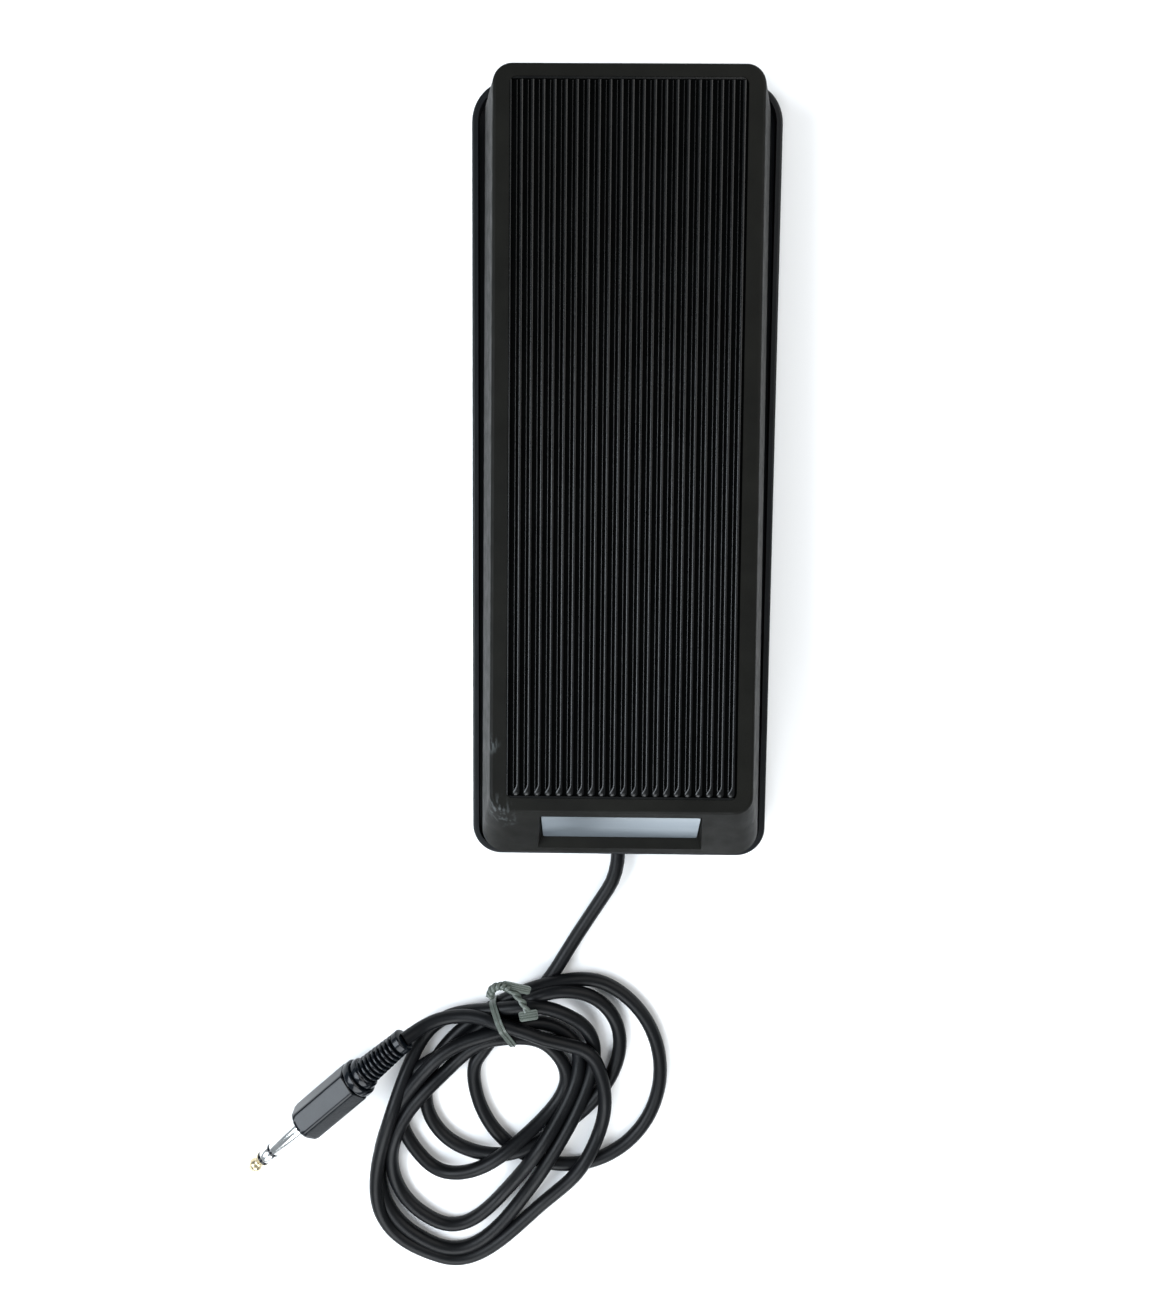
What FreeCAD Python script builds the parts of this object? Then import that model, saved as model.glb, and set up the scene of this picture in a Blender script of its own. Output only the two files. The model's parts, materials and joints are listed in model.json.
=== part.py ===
import FreeCAD, Part
import math
import os

from FreeCAD import Vector

# Rocking foot pedal with a captive cord.  All sizes are in millimetres.
# X runs across the pedal, +Y towards the heel end, -Y towards the toe end, +Z up.
# The origin is on the floor, under the middle of the pedal without its cord.

# ---- driving dimensions ----------------------------------------------------------------

# base tray
BASE_WIDTH = 118.0
BASE_LENGTH = 300.0
BASE_BOTTOM = 2.5
BASE_RIM_TOP = 12.0
BASE_WALL = 2.4
HEEL_CORNER = 15.5
TOE_CORNER = 11.5
TRAY_FLOOR_LOW = 4.0
TRAY_FLOOR_TOP = 6.5
RIM_ROUNDING = 1.0
PLATE_CLEARANCE = 0.3
INNER_WALL_HALF_WIDTH = 45.8
INNER_WALL_TOE = -124.5
INNER_WALL_HEEL = 139.5
INNER_WALL_CORNER = 7.0
INNER_WALL_THICKNESS = 1.8
INNER_WALL_CREST = [(-124.5, 29.0), (-50.0, 36.5), (45.0, 36.5), (139.5, 26.5)]

# treadle, in its own frame: origin on the hinge axis, top face level
HINGE_HEIGHT = 22.0
REST_TILT = -2.67
TREADLE_TOP = 25.8
SKIRT_BOTTOM = 3.2
SKIRT_HALF_WIDTH = 53.2
SKIRT_TOE = -143.7
SKIRT_HEEL = 145.3
TOP_HALF_WIDTH = 48.4
TOP_TOE = -123.7
TOP_HEEL = 144.5
SKIRT_CORNER = 9.0
TOP_CORNER = 7.0
SHELL_WALL = 2.5
TOE_WALL_FACTOR = 1.35
TOP_SKIN = 3.0
TOP_ROUNDING = 1.4

# travel of the treadle from rest, in degrees
HEEL_DOWN = -4.0
TOE_DOWN = 8.5

# ribbed mat
MAT_HALF_WIDTH = 42.4
MAT_TOE = -118.7
MAT_HEEL = 139.6
MAT_CORNER = 2.5
MAT_POCKET_DEPTH = 1.2
MAT_PAD = 0.6
MAT_GAP = 0.15
RIB_COUNT = 21
RIB_PITCH = 3.95
FIRST_RIB_X = -38.1
RIB_WIDTH = 1.6
RIB_RISE = 1.2
SMALL_RIB_OFFSET = -1.65
SMALL_RIB_WIDTH = 0.9
SMALL_RIB_RISE = 0.3
RIB_END_GAP = 1.2

# nameplate and its recess in the toe end face
PLATE_WIDTH = 59.0
PLATE_HEIGHT = 20.4
PLATE_THICKNESS = 0.8
PLATE_SLOPE = 57.1
PLATE_FOOT_Y = -136.5
PLATE_FOOT_Z = 5.5
RECESS_DEPTH = 9.0
RECESS_DRAFT = 3.4
RECESS_BACKING = 2.0

# hinge
SHAFT_RADIUS = 3.0
SHAFT_HALF_LENGTH = 43.5
EAR_INNER = 30.5
EAR_THICKNESS = 2.0
EAR_RADIUS = 10.0
LUG_INNER = 36.5
LUG_THICKNESS = 5.0
LUG_RADIUS = 8.0
BUSH_RADIUS = 4.5
BUSH_BORE = 3.05
BUSH_FLANGE_RADIUS = 6.5
BUSH_FLANGE = 1.0
BRACKET_HALF_DEPTH = 16.0
BRACKET_SHEET = 2.0
CLIP_GROOVE_RADIUS = 2.4
CLIP_THICKNESS = 0.7
CLIP_INNER_FACE = 41.8

# sector and pinion
MODULE = 0.8
PRESSURE_ANGLE = math.radians(25.0)
SECTOR_TEETH = 112
SECTOR_TEETH_CUT = 8
PINION_TEETH = 14
TOOTH_THINNING = 0.14
MESH_DIRECTION = math.radians(175.0)
SECTOR_X = 8.0
SECTOR_THICKNESS = 4.0

# potentiometer
POT_BODY_RADIUS = 8.5
POT_BODY_LENGTH = 7.5
POT_SHAFT_RADIUS = 2.0
POT_BUSHING_RADIUS = 3.5
POT_BRACKET_X = 18.0
POT_SHEET = 1.5

# stops
BUMPER_RADIUS = 6.0
BUMPER_HEIGHT = 6.0
BUMPER_X = 36.0
BUMPER_Y = 95.0
POST_RADIUS = 5.0
STOP_GAP = 0.9

# fasteners and feet
SCREW_RADIUS = 1.5
SCREW_HEAD_RADIUS = 3.0
SCREW_HEAD = 1.6
FOOT_RADIUS = 9.0
FOOT_X = 46.0
FOOT_Y = 106.0
PLATE_SCREW_X = 38.0
PLATE_SCREW_Y = (-116.0, 0.0, 126.0)

# cord, coil, tie and plug
CORD_DIAMETER = 5.8
CORD_EXIT_HEIGHT = 6.9
CORD_REST = CORD_DIAMETER / 2 + 0.05
CORD_ROUTE = [
    (0.0, -150.0, CORD_EXIT_HEIGHT),
    (0.0, -159.5, CORD_EXIT_HEIGHT),
    (-8.0, -173.0, 4.6),
    (-17.5, -188.5, CORD_REST),
    (-28.0, -206.5, CORD_REST),
]
COIL_HEIGHT = 16.0
LONG_TURNS_CENTRE = (-53.0, -274.0)
LONG_TURNS_RADII = (63.0, 44.0)
LONG_TURNS_LEAN = 68.0
WIDE_TURN_CENTRE = (-20.0, -245.0)
WIDE_TURN_RADII = (44.5, 42.0)
WIDE_TURN_LEAN = 90.0
COIL_EYE_CENTRE = (-40.0, -254.0)
COIL_EYE_RADII = (16.0, 17.0)
PLUG_CORD_END = Vector(-87.2, -228.5, 13.9)
PLUG_HEADING = 222.8
PLUG_DIP = 5.3
RELIEF_LENGTH = 22.6
RELIEF_RADIUS_CORD = 5.0
RELIEF_RADIUS_PLUG = 6.0
RELIEF_RIBS = 9
RELIEF_END_COLLAR = 3.4
PLUG_BODY_LENGTH = 38.9
PLUG_BODY_RADIUS = 8.7
PLUG_GRIP_ROLL = 22.0
PLUG_DOME_RADIUS = 11.5
PLUG_SHANK_RADIUS = 3.175
PLUG_SHANK_LENGTH = 30.5
LEAD_DIAMETER = 1.3

X_AXIS = Vector(1, 0, 0)
Y_AXIS = Vector(0, 1, 0)
Z_AXIS = Vector(0, 0, 1)
ORIGIN = Vector(0, 0, 0)


# ---- helpers ---------------------------------------------------------------------------

def write(name, shape):
    """Write one node, and say how many solids it holds."""
    shape.exportStep("parts/" + name + ".step")
    print(f"{name}: {len(shape.Solids)} solid(s), {shape.Volume:.0f} mm3, valid {shape.isValid()}")


def box(x_range, y_range, z_range):
    size = [high - low for low, high in (x_range, y_range, z_range)]
    return Part.makeBox(*size, Vector(x_range[0], y_range[0], z_range[0]))


def cylinder(radius, start, length, direction=Z_AXIS):
    return Part.makeCylinder(radius, length, start, direction)


def ring(outer, inner, start, length, direction=Z_AXIS):
    return cylinder(outer, start, length, direction).cut(cylinder(inner, start, length, direction))


def mirrored(shape):
    """The shape and its mirror image across the pedal's middle plane."""
    return Part.makeCompound([shape, shape.mirror(ORIGIN, X_AXIS)])


def rounded_outline(half_width, y_low, y_high, radius_low, radius_high, z):
    """A closed rectangle with rounded corners, level at height z."""
    corners = [
        (half_width, y_low, radius_low, -45),
        (half_width, y_high, radius_high, 45),
        (-half_width, y_high, radius_high, 135),
        (-half_width, y_low, radius_low, 225),
    ]
    arcs = []
    for x, y, radius, heading in corners:
        middle = Vector(x - math.copysign(radius, x), y + (radius if y == y_low else -radius), z)
        points = []
        for turn in (-45, 0, 45):
            angle = math.radians(heading + turn)
            points.append(middle + Vector(radius * math.cos(angle), radius * math.sin(angle), 0))
        arcs.append(Part.Arc(*points).toShape())
    edges = []
    for i, arc in enumerate(arcs):
        following = arcs[(i + 1) % len(arcs)]
        edges.append(arc)
        edges.append(Part.LineSegment(arc.Vertexes[-1].Point, following.Vertexes[0].Point).toShape())
    return Part.Wire(edges)


def plate_of(outline, thickness):
    return Part.Face(outline).extrude(Vector(0, 0, thickness))


def ellipse_disc(centre, radii, lean, z, height):
    """An upright elliptical disc; radii[0] lies along the direction lean, in degrees."""
    long_first = radii[0] >= radii[1]
    major, minor = (radii[0], radii[1]) if long_first else (radii[1], radii[0])
    curve = Part.Ellipse(ORIGIN, major, minor)
    disc = Part.Face(Part.Wire(curve.toShape())).extrude(Vector(0, 0, height))
    disc.rotate(ORIGIN, Z_AXIS, lean if long_first else lean + 90)
    disc.translate(Vector(centre[0], centre[1], z))
    return disc


def smooth_path(points, label):
    """Straight runs joined by tangent arcs, each as large as its two runs allow."""
    points = [Vector(*p) for p in points]
    edges, length, radii = [], 0.0, []
    last = points[0]
    for before, corner, after in zip(points, points[1:], points[2:]):
        incoming = (corner - before).normalize()
        outgoing = (after - corner).normalize()
        turn = incoming.getAngle(outgoing)
        shorter = min((corner - before).Length, (after - corner).Length)
        trim = 0.45 * shorter
        radius = trim / math.tan(turn / 2)
        start = corner - incoming * trim
        end = corner + outgoing * trim
        inward = (outgoing - incoming).normalize()
        middle = corner + inward * (radius / math.cos(turn / 2) - radius)
        edges.append(Part.LineSegment(last, start).toShape())
        edges.append(Part.Arc(start, middle, end).toShape())
        length += (start - last).Length + radius * turn
        radii.append(radius)
        last = end
    edges.append(Part.LineSegment(last, points[-1]).toShape())
    length += (points[-1] - last).Length
    print(f"{label}: length {length:.1f}, arc radii {[round(r, 1) for r in radii]}")
    return Part.Wire(edges), length


def round_cord(points, diameter, label):
    """A round cord along straight runs and tangent arcs, checked against its section times its length."""
    path, length = smooth_path(points, label)
    heading = Vector(*points[1]) - Vector(*points[0])
    circle = Part.Wire(Part.Circle(Vector(*points[0]), heading, diameter / 2).toShape())
    solid = path.makePipeShell([circle], True, False)
    expected = math.pi * diameter ** 2 / 4 * length
    print(f"{label}: volume {solid.Volume:.0f}, section times length {expected:.0f}")
    return solid


def on_treadle(shape):
    """Place a shape from the treadle's own frame at rest in the pedal."""
    placed = shape.copy()
    placed.rotate(ORIGIN, X_AXIS, REST_TILT)
    placed.translate(Vector(0, 0, HINGE_HEIGHT))
    return placed


def on_plug(shape):
    """Place a shape from the plug's frame, where +Z runs from the cord's end to the tip."""
    placed = shape.copy()
    placed.rotate(ORIGIN, Y_AXIS, 90 + PLUG_DIP)
    placed.rotate(ORIGIN, Z_AXIS, PLUG_HEADING)
    placed.translate(PLUG_CORD_END)
    return placed


def pan_screw(x, y, head_face, shank_length, pointing):
    """A pan-head screw; pointing is +1 when its shank points up and -1 when it points down."""
    direction = Vector(0, 0, pointing)
    start = Vector(x, y, head_face)
    head = cylinder(SCREW_HEAD_RADIUS, start - direction * SCREW_HEAD, SCREW_HEAD, direction)
    slot_width = 0.8
    slot_depth = 0.7
    slot_centre = head_face - pointing * (SCREW_HEAD - slot_depth / 2)
    slot = box((x - SCREW_HEAD_RADIUS, x + SCREW_HEAD_RADIUS), (y - slot_width / 2, y + slot_width / 2),
               (slot_centre - slot_depth / 2, slot_centre + slot_depth / 2))
    shank = cylinder(SCREW_RADIUS, start, shank_length, direction)
    return head.cut(slot).fuse(shank)


# ---- base ------------------------------------------------------------------------------

def base_outline(inset, z):
    return rounded_outline(BASE_WIDTH / 2 - inset, -BASE_LENGTH / 2 + inset, BASE_LENGTH / 2 - inset,
                           TOE_CORNER - inset, HEEL_CORNER - inset, z)


def plate_screw_places():
    return [(x, y) for x in (-PLATE_SCREW_X, PLATE_SCREW_X) for y in PLATE_SCREW_Y]


BRACKET_SCREWS = [(x, y) for x in (-24.0, 24.0) for y in (-10.5, 10.5)]
POT_SCREWS = [(27.0, -56.5), (27.0, -44.0)]
CLAMP_SCREWS = [(-8.2, -108.0), (8.2, -108.0)]
BOSS_RADIUS = 4.0
BOSS_TOP = 11.0
SLOT_HALF_WIDTH = 5.6
SLOT_END = -113.5
DOORWAY_TOP = 14.0
GROMMET_NECK_RADIUS = 4.0
GROMMET_COLLAR_RADIUS = 5.2
GROMMET_COLLAR = 1.8


def inner_wall_outline(inset, z):
    corner = INNER_WALL_CORNER - inset
    return rounded_outline(INNER_WALL_HALF_WIDTH - inset, INNER_WALL_TOE + inset, INNER_WALL_HEEL - inset,
                           corner, corner, z)


def inner_wall():
    """The upright wall inside the skirt, which hides the works; its crest follows the treadle's travel."""
    height = max(z for y, z in INNER_WALL_CREST) - TRAY_FLOOR_TOP
    wall = plate_of(inner_wall_outline(0, TRAY_FLOOR_TOP), height)
    wall = wall.cut(plate_of(inner_wall_outline(INNER_WALL_THICKNESS, TRAY_FLOOR_TOP), height))
    ends = INNER_WALL_CREST[:1] + INNER_WALL_CREST[-1:]
    below = [(ends[1][0], 0), (ends[0][0], 0)]
    points = [Vector(-BASE_WIDTH / 2, y, z) for y, z in INNER_WALL_CREST + below]
    kept = Part.Face(Part.makePolygon(points + points[:1])).extrude(Vector(BASE_WIDTH, 0, 0))
    doorway = box((-SLOT_HALF_WIDTH, SLOT_HALF_WIDTH), (INNER_WALL_TOE - 1, INNER_WALL_TOE + 5),
                  (TRAY_FLOOR_TOP, DOORWAY_TOP))
    return wall.common(kept).cut(doorway)


def base_tray():
    inner_toe = -BASE_LENGTH / 2 + BASE_WALL
    tray = plate_of(base_outline(0, BASE_BOTTOM), BASE_RIM_TOP - BASE_BOTTOM)
    rim_edges = [e for e in tray.Edges if abs(e.BoundBox.ZMin - e.BoundBox.ZMax) < 0.01]
    tray = tray.makeFillet(RIM_ROUNDING, rim_edges)
    tray = tray.cut(plate_of(base_outline(BASE_WALL, TRAY_FLOOR_TOP), BASE_RIM_TOP))
    under = plate_of(base_outline(BASE_WALL, BASE_BOTTOM - 1), TRAY_FLOOR_LOW - BASE_BOTTOM + 1)
    tray = tray.cut(under)
    tray = tray.fuse(inner_wall())
    for x, y in plate_screw_places():
        tray = tray.fuse(cylinder(BOSS_RADIUS, Vector(x, y, TRAY_FLOOR_TOP), BOSS_TOP - TRAY_FLOOR_TOP))
    drilled = plate_screw_places() + BRACKET_SCREWS + POT_SCREWS + CLAMP_SCREWS
    holes = [cylinder(SCREW_RADIUS, Vector(x, y, TRAY_FLOOR_LOW), BOSS_TOP) for x, y in drilled]
    slot = box((-SLOT_HALF_WIDTH, SLOT_HALF_WIDTH), (inner_toe, SLOT_END), (TRAY_FLOOR_LOW, TRAY_FLOOR_TOP))
    cord_hole = cylinder(GROMMET_NECK_RADIUS, Vector(0, -BASE_LENGTH / 2, CORD_EXIT_HEIGHT), BASE_WALL, Y_AXIS)
    return tray.cut(holes + [slot, cord_hole])


def bottom_plate():
    plate = plate_of(base_outline(BASE_WALL + PLATE_CLEARANCE, BASE_BOTTOM), TRAY_FLOOR_LOW - BASE_BOTTOM)
    holes = [cylinder(SCREW_RADIUS, Vector(x, y, 0), TRAY_FLOOR_LOW) for x, y in plate_screw_places()]
    return plate.cut(holes)


def bottom_plate_screws():
    shank = BOSS_TOP - BASE_BOTTOM - 1.0
    return Part.makeCompound([pan_screw(x, y, BASE_BOTTOM, shank, 1) for x, y in plate_screw_places()])


def rubber_feet():
    feet = []
    for x in (-FOOT_X, FOOT_X):
        for y in (-FOOT_Y, FOOT_Y):
            foot = cylinder(FOOT_RADIUS, Vector(x, y, 0), BASE_BOTTOM)
            tread_edges = [e for e in foot.Edges if e.BoundBox.ZMax < 0.01]
            feet.append(foot.makeFillet(0.8, tread_edges))
    return Part.makeCompound(feet)


def cord_grommet():
    outer_face = -BASE_LENGTH / 2
    neck = cylinder(GROMMET_NECK_RADIUS, Vector(0, outer_face, CORD_EXIT_HEIGHT), BASE_WALL, Y_AXIS)
    collar_start = Vector(0, outer_face + BASE_WALL, CORD_EXIT_HEIGHT)
    collar = cylinder(GROMMET_COLLAR_RADIUS, collar_start, GROMMET_COLLAR, Y_AXIS)
    length = BASE_WALL + GROMMET_COLLAR
    bore = cylinder(CORD_DIAMETER / 2, Vector(0, outer_face, CORD_EXIT_HEIGHT), length, Y_AXIS)
    under = box((-10, 10), (outer_face + BASE_WALL, outer_face + 10), (0, TRAY_FLOOR_LOW))
    return neck.fuse(collar).cut([bore, under])


def bumpers(y):
    pad = cylinder(BUMPER_RADIUS, Vector(BUMPER_X, y, TRAY_FLOOR_TOP), BUMPER_HEIGHT)
    crown = [e for e in pad.Edges if e.BoundBox.ZMin > TRAY_FLOOR_TOP + BUMPER_HEIGHT - 0.01]
    return mirrored(pad.makeFillet(1.2, crown))


# ---- hinge -----------------------------------------------------------------------------

def pivot_bracket():
    ear_outer = EAR_INNER + EAR_THICKNESS
    floor = TRAY_FLOOR_TOP
    sheet = box((-ear_outer, ear_outer), (-BRACKET_HALF_DEPTH, BRACKET_HALF_DEPTH), (floor, floor + BRACKET_SHEET))
    bracket = sheet.cut([cylinder(SCREW_RADIUS, Vector(x, y, floor), BRACKET_SHEET) for x, y in BRACKET_SCREWS])
    for x in (EAR_INNER, -ear_outer):
        upright = box((x, x + EAR_THICKNESS), (-EAR_RADIUS, EAR_RADIUS), (floor, HINGE_HEIGHT))
        crown = cylinder(EAR_RADIUS, Vector(x, 0, HINGE_HEIGHT), EAR_THICKNESS, X_AXIS)
        bore = cylinder(SHAFT_RADIUS, Vector(x, 0, HINGE_HEIGHT), EAR_THICKNESS, X_AXIS)
        bracket = bracket.fuse(upright.fuse(crown)).cut(bore)
    return bracket.removeSplitter()


def pivot_bracket_screws():
    head_face = TRAY_FLOOR_TOP + BRACKET_SHEET
    shank = head_face - TRAY_FLOOR_LOW - 0.1
    return Part.makeCompound([pan_screw(x, y, head_face, shank, -1) for x, y in BRACKET_SCREWS])


def hinge_shaft():
    start = Vector(-SHAFT_HALF_LENGTH, 0, HINGE_HEIGHT)
    shaft = cylinder(SHAFT_RADIUS, start, 2 * SHAFT_HALF_LENGTH, X_AXIS)
    ends = [e for e in shaft.Edges if e.BoundBox.XLength < 0.01]
    shaft = shaft.makeChamfer(0.4, ends)
    for x in (CLIP_INNER_FACE, -CLIP_INNER_FACE - CLIP_THICKNESS):
        place = Vector(x, 0, HINGE_HEIGHT)
        shaft = shaft.cut(ring(SHAFT_RADIUS + 1, CLIP_GROOVE_RADIUS, place, CLIP_THICKNESS, X_AXIS))
    return shaft


def hinge_shaft_clips():
    """Two open retaining clips in the shaft's grooves."""
    place = Vector(CLIP_INNER_FACE, 0, HINGE_HEIGHT)
    clip = ring(5.0, CLIP_GROOVE_RADIUS, place, CLIP_THICKNESS, X_AXIS)
    mouth = box((CLIP_INNER_FACE, CLIP_INNER_FACE + CLIP_THICKNESS), (-1.6, 1.6), (HINGE_HEIGHT - 6, HINGE_HEIGHT))
    return mirrored(clip.cut(mouth))


def washer_pair(outer, x, thickness):
    place = Vector(x, 0, HINGE_HEIGHT)
    return mirrored(ring(outer, SHAFT_RADIUS, place, thickness, X_AXIS))


def hinge_bushes():
    """Flanged bushes in the treadle's lugs, in the treadle's frame."""
    barrel = cylinder(BUSH_RADIUS, Vector(LUG_INNER, 0, 0), LUG_THICKNESS, X_AXIS)
    flange = cylinder(BUSH_FLANGE_RADIUS, Vector(LUG_INNER - BUSH_FLANGE, 0, 0), BUSH_FLANGE, X_AXIS)
    length = LUG_THICKNESS + BUSH_FLANGE
    bore = cylinder(BUSH_BORE, Vector(LUG_INNER - BUSH_FLANGE, 0, 0), length, X_AXIS)
    return mirrored(barrel.fuse(flange).cut(bore))


# ---- treadle, in its own frame ---------------------------------------------------------

def treadle_outline(z, inset):
    """The hood's outline at height z, drawn in by a wall thickness where inset is not zero."""
    share = (z - SKIRT_BOTTOM) / (TREADLE_TOP - SKIRT_BOTTOM)

    def between(low, high):
        return low + (high - low) * share

    corner = between(SKIRT_CORNER, TOP_CORNER) - inset
    return rounded_outline(between(SKIRT_HALF_WIDTH, TOP_HALF_WIDTH) - inset,
                           between(SKIRT_TOE, TOP_TOE) + inset * TOE_WALL_FACTOR,
                           between(SKIRT_HEEL, TOP_HEEL) - inset, corner, corner, z)


def in_recess_frame(shape):
    """Place a shape drawn with X across, Y up the plate and Z out of it on the toe end face."""
    placed = shape.copy()
    placed.rotate(ORIGIN, X_AXIS, PLATE_SLOPE)
    placed.translate(Vector(0, PLATE_FOOT_Y, PLATE_FOOT_Z))
    return placed


def recess_space():
    """A drafted pocket: its back carries the nameplate and its floor is level."""
    half = PLATE_WIDTH / 2 + 0.3
    floor_drop = RECESS_DEPTH / math.tan(math.radians(PLATE_SLOPE))
    back = [(-half, 0, 0), (half, 0, 0), (half, PLATE_HEIGHT + 0.2, 0), (-half, PLATE_HEIGHT + 0.2, 0)]
    wide = half + RECESS_DRAFT
    mouth = [(-wide, -floor_drop, RECESS_DEPTH), (wide, -floor_drop, RECESS_DEPTH),
             (wide, PLATE_HEIGHT + 0.2, RECESS_DEPTH), (-wide, PLATE_HEIGHT + 0.2, RECESS_DEPTH)]
    outlines = [Part.makePolygon([Vector(*p) for p in points + points[:1]]) for points in (back, mouth)]
    return in_recess_frame(Part.makeLoft(outlines, True, True))


def post_end(y, travel):
    """The height, in the treadle's frame, of a post that just clears its bumper at that end of the travel."""
    tilt = math.radians(REST_TILT + travel)
    bumper_top = TRAY_FLOOR_TOP + BUMPER_HEIGHT + STOP_GAP
    return (bumper_top - HINGE_HEIGHT - y * math.sin(tilt)) / math.cos(tilt)


SECTOR_BOSSES = [(-4.0, -31.5), (-4.0, -41.0)]
SECTOR_BOSS_RADIUS = 3.5
SECTOR_FLANGE_TOP = 17.8
SECTOR_FLANGE = 2.0
STIFFENERS = (-108.0, -72.0, -18.0, 24.0, 60.0, 108.0)
STIFFENER_HALF_LENGTH = 43.0
STIFFENER_DEPTH = 4.0
STIFFENER_THICKNESS = 1.8


def treadle_shell():
    underside = TREADLE_TOP - TOP_SKIN
    outer = Part.makeLoft([treadle_outline(SKIRT_BOTTOM, 0), treadle_outline(TREADLE_TOP, 0)], True, True)
    top_edges = [e for e in outer.Edges if e.BoundBox.ZMin > TREADLE_TOP - 0.01]
    outer = outer.makeFillet(TOP_ROUNDING, top_edges)
    hollow = Part.makeLoft([treadle_outline(SKIRT_BOTTOM - 1, SHELL_WALL), treadle_outline(underside, SHELL_WALL)],
                           True, True)
    shell = outer.cut(hollow)
    half = PLATE_WIDTH / 2 + 0.3 + RECESS_BACKING
    backing = Part.makeBox(2 * half, PLATE_HEIGHT + 5, RECESS_DEPTH + RECESS_BACKING,
                           Vector(-half, -3, -RECESS_BACKING))
    shell = shell.fuse(in_recess_frame(backing).common(outer))
    shell = shell.cut(recess_space())
    additions = []
    for y in STIFFENERS:
        additions.append(box((-STIFFENER_HALF_LENGTH, STIFFENER_HALF_LENGTH), (y, y + STIFFENER_THICKNESS),
                             (underside - STIFFENER_DEPTH, underside + 0.5)))
    for side in (-1, 1):
        inner, outer_face = sorted((side * LUG_INNER, side * (LUG_INNER + LUG_THICKNESS)))
        web = box((inner, outer_face), (-LUG_RADIUS, LUG_RADIUS), (0, underside + 0.5))
        boss = cylinder(LUG_RADIUS, Vector(inner, 0, 0), LUG_THICKNESS, X_AXIS)
        additions.append(web.fuse(boss))
        for y, travel in ((-BUMPER_Y, TOE_DOWN), (BUMPER_Y, HEEL_DOWN)):
            low = post_end(y, travel)
            place = Vector(side * BUMPER_X, y, low)
            additions.append(cylinder(POST_RADIUS, place, underside + 0.5 - low))
    for x, y in SECTOR_BOSSES:
        height = underside + 0.5 - SECTOR_FLANGE_TOP
        additions.append(cylinder(SECTOR_BOSS_RADIUS, Vector(x, y, SECTOR_FLANGE_TOP), height))
    shell = shell.fuse(additions)
    # the bore ends just outside the lugs, so that it leaves the skirts whole
    bore = LUG_INNER + LUG_THICKNESS + 1
    cuts = [cylinder(BUSH_RADIUS, Vector(-bore, 0, 0), 2 * bore, X_AXIS)]
    for x, y in SECTOR_BOSSES:
        cuts.append(cylinder(SCREW_RADIUS, Vector(x, y, SECTOR_FLANGE_TOP), 5.0))
    pocket = rounded_outline(MAT_HALF_WIDTH, MAT_TOE, MAT_HEEL, MAT_CORNER, MAT_CORNER,
                             TREADLE_TOP - MAT_POCKET_DEPTH)
    cuts.append(plate_of(pocket, MAT_POCKET_DEPTH + 1))
    return shell.cut(cuts).removeSplitter()


def rib_bar(x, width, crest, base, ends):
    """One rib of the mat: straight sides and a rounded crest."""
    shoulder = crest - width / 4
    low, high = ends
    left, right = x - width / 2, x + width / 2
    side_up = Part.LineSegment(Vector(left, low, base), Vector(left, low, shoulder)).toShape()
    crown = Part.Arc(Vector(left, low, shoulder), Vector(x, low, crest), Vector(right, low, shoulder)).toShape()
    side_down = Part.LineSegment(Vector(right, low, shoulder), Vector(right, low, base)).toShape()
    foot = Part.LineSegment(Vector(right, low, base), Vector(left, low, base)).toShape()
    return Part.Face(Part.Wire([side_up, crown, side_down, foot])).extrude(Vector(0, high - low, 0))


def ribbed_mat():
    pad_low = TREADLE_TOP - MAT_POCKET_DEPTH
    outline = rounded_outline(MAT_HALF_WIDTH - MAT_GAP, MAT_TOE + MAT_GAP, MAT_HEEL - MAT_GAP,
                              MAT_CORNER, MAT_CORNER, pad_low)
    mat = plate_of(outline, MAT_PAD)
    ends = (MAT_TOE + RIB_END_GAP, MAT_HEEL - RIB_END_GAP)
    overlap = 0.2
    base = pad_low + MAT_PAD - overlap
    ribs = []
    for number in range(RIB_COUNT):
        x = FIRST_RIB_X + number * RIB_PITCH
        ribs.append(rib_bar(x, RIB_WIDTH, TREADLE_TOP + RIB_RISE, base, ends))
        ribs.append(rib_bar(x + SMALL_RIB_OFFSET, SMALL_RIB_WIDTH, TREADLE_TOP + SMALL_RIB_RISE, base, ends))
    return mat.fuse(ribs)


def nameplate():
    outline = rounded_outline(PLATE_WIDTH / 2, 0.2, PLATE_HEIGHT, 1.0, 1.0, 0)
    plate = plate_of(outline, PLATE_THICKNESS)
    return in_recess_frame(plate)


# ---- sector and pinion -----------------------------------------------------------------

def involute(angle):
    return math.tan(angle) - angle


def tooth_half_angle(radius, teeth):
    """Half of a tooth's angle, seen from the gear's centre, at that radius."""
    pitch_radius = MODULE * teeth / 2
    base_radius = pitch_radius * math.cos(PRESSURE_ANGLE)
    pressure = math.acos(min(1.0, base_radius / max(radius, base_radius)))
    at_pitch = math.pi / (2 * teeth) - TOOTH_THINNING / (2 * pitch_radius)
    return at_pitch + involute(PRESSURE_ANGLE) - involute(pressure)


def tooth_points(teeth, centre_angle, root, tip):
    """Points up one flank of a tooth and down the other, as (radius, angle)."""
    steps = 5
    radii = [root + (tip - root) * i / steps for i in range(steps + 1)]
    rising = [(r, centre_angle - tooth_half_angle(r, teeth)) for r in radii]
    falling = [(r, centre_angle + tooth_half_angle(r, teeth)) for r in reversed(radii)]
    return rising + falling


def profile_in_side_view(polar_points, x, thickness):
    """A plate whose outline is given as (radius, angle) in the YZ plane."""
    points = [Vector(x, r * math.cos(a), r * math.sin(a)) for r, a in polar_points]
    return Part.Face(Part.makePolygon(points + points[:1])).extrude(Vector(thickness, 0, 0))


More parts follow.
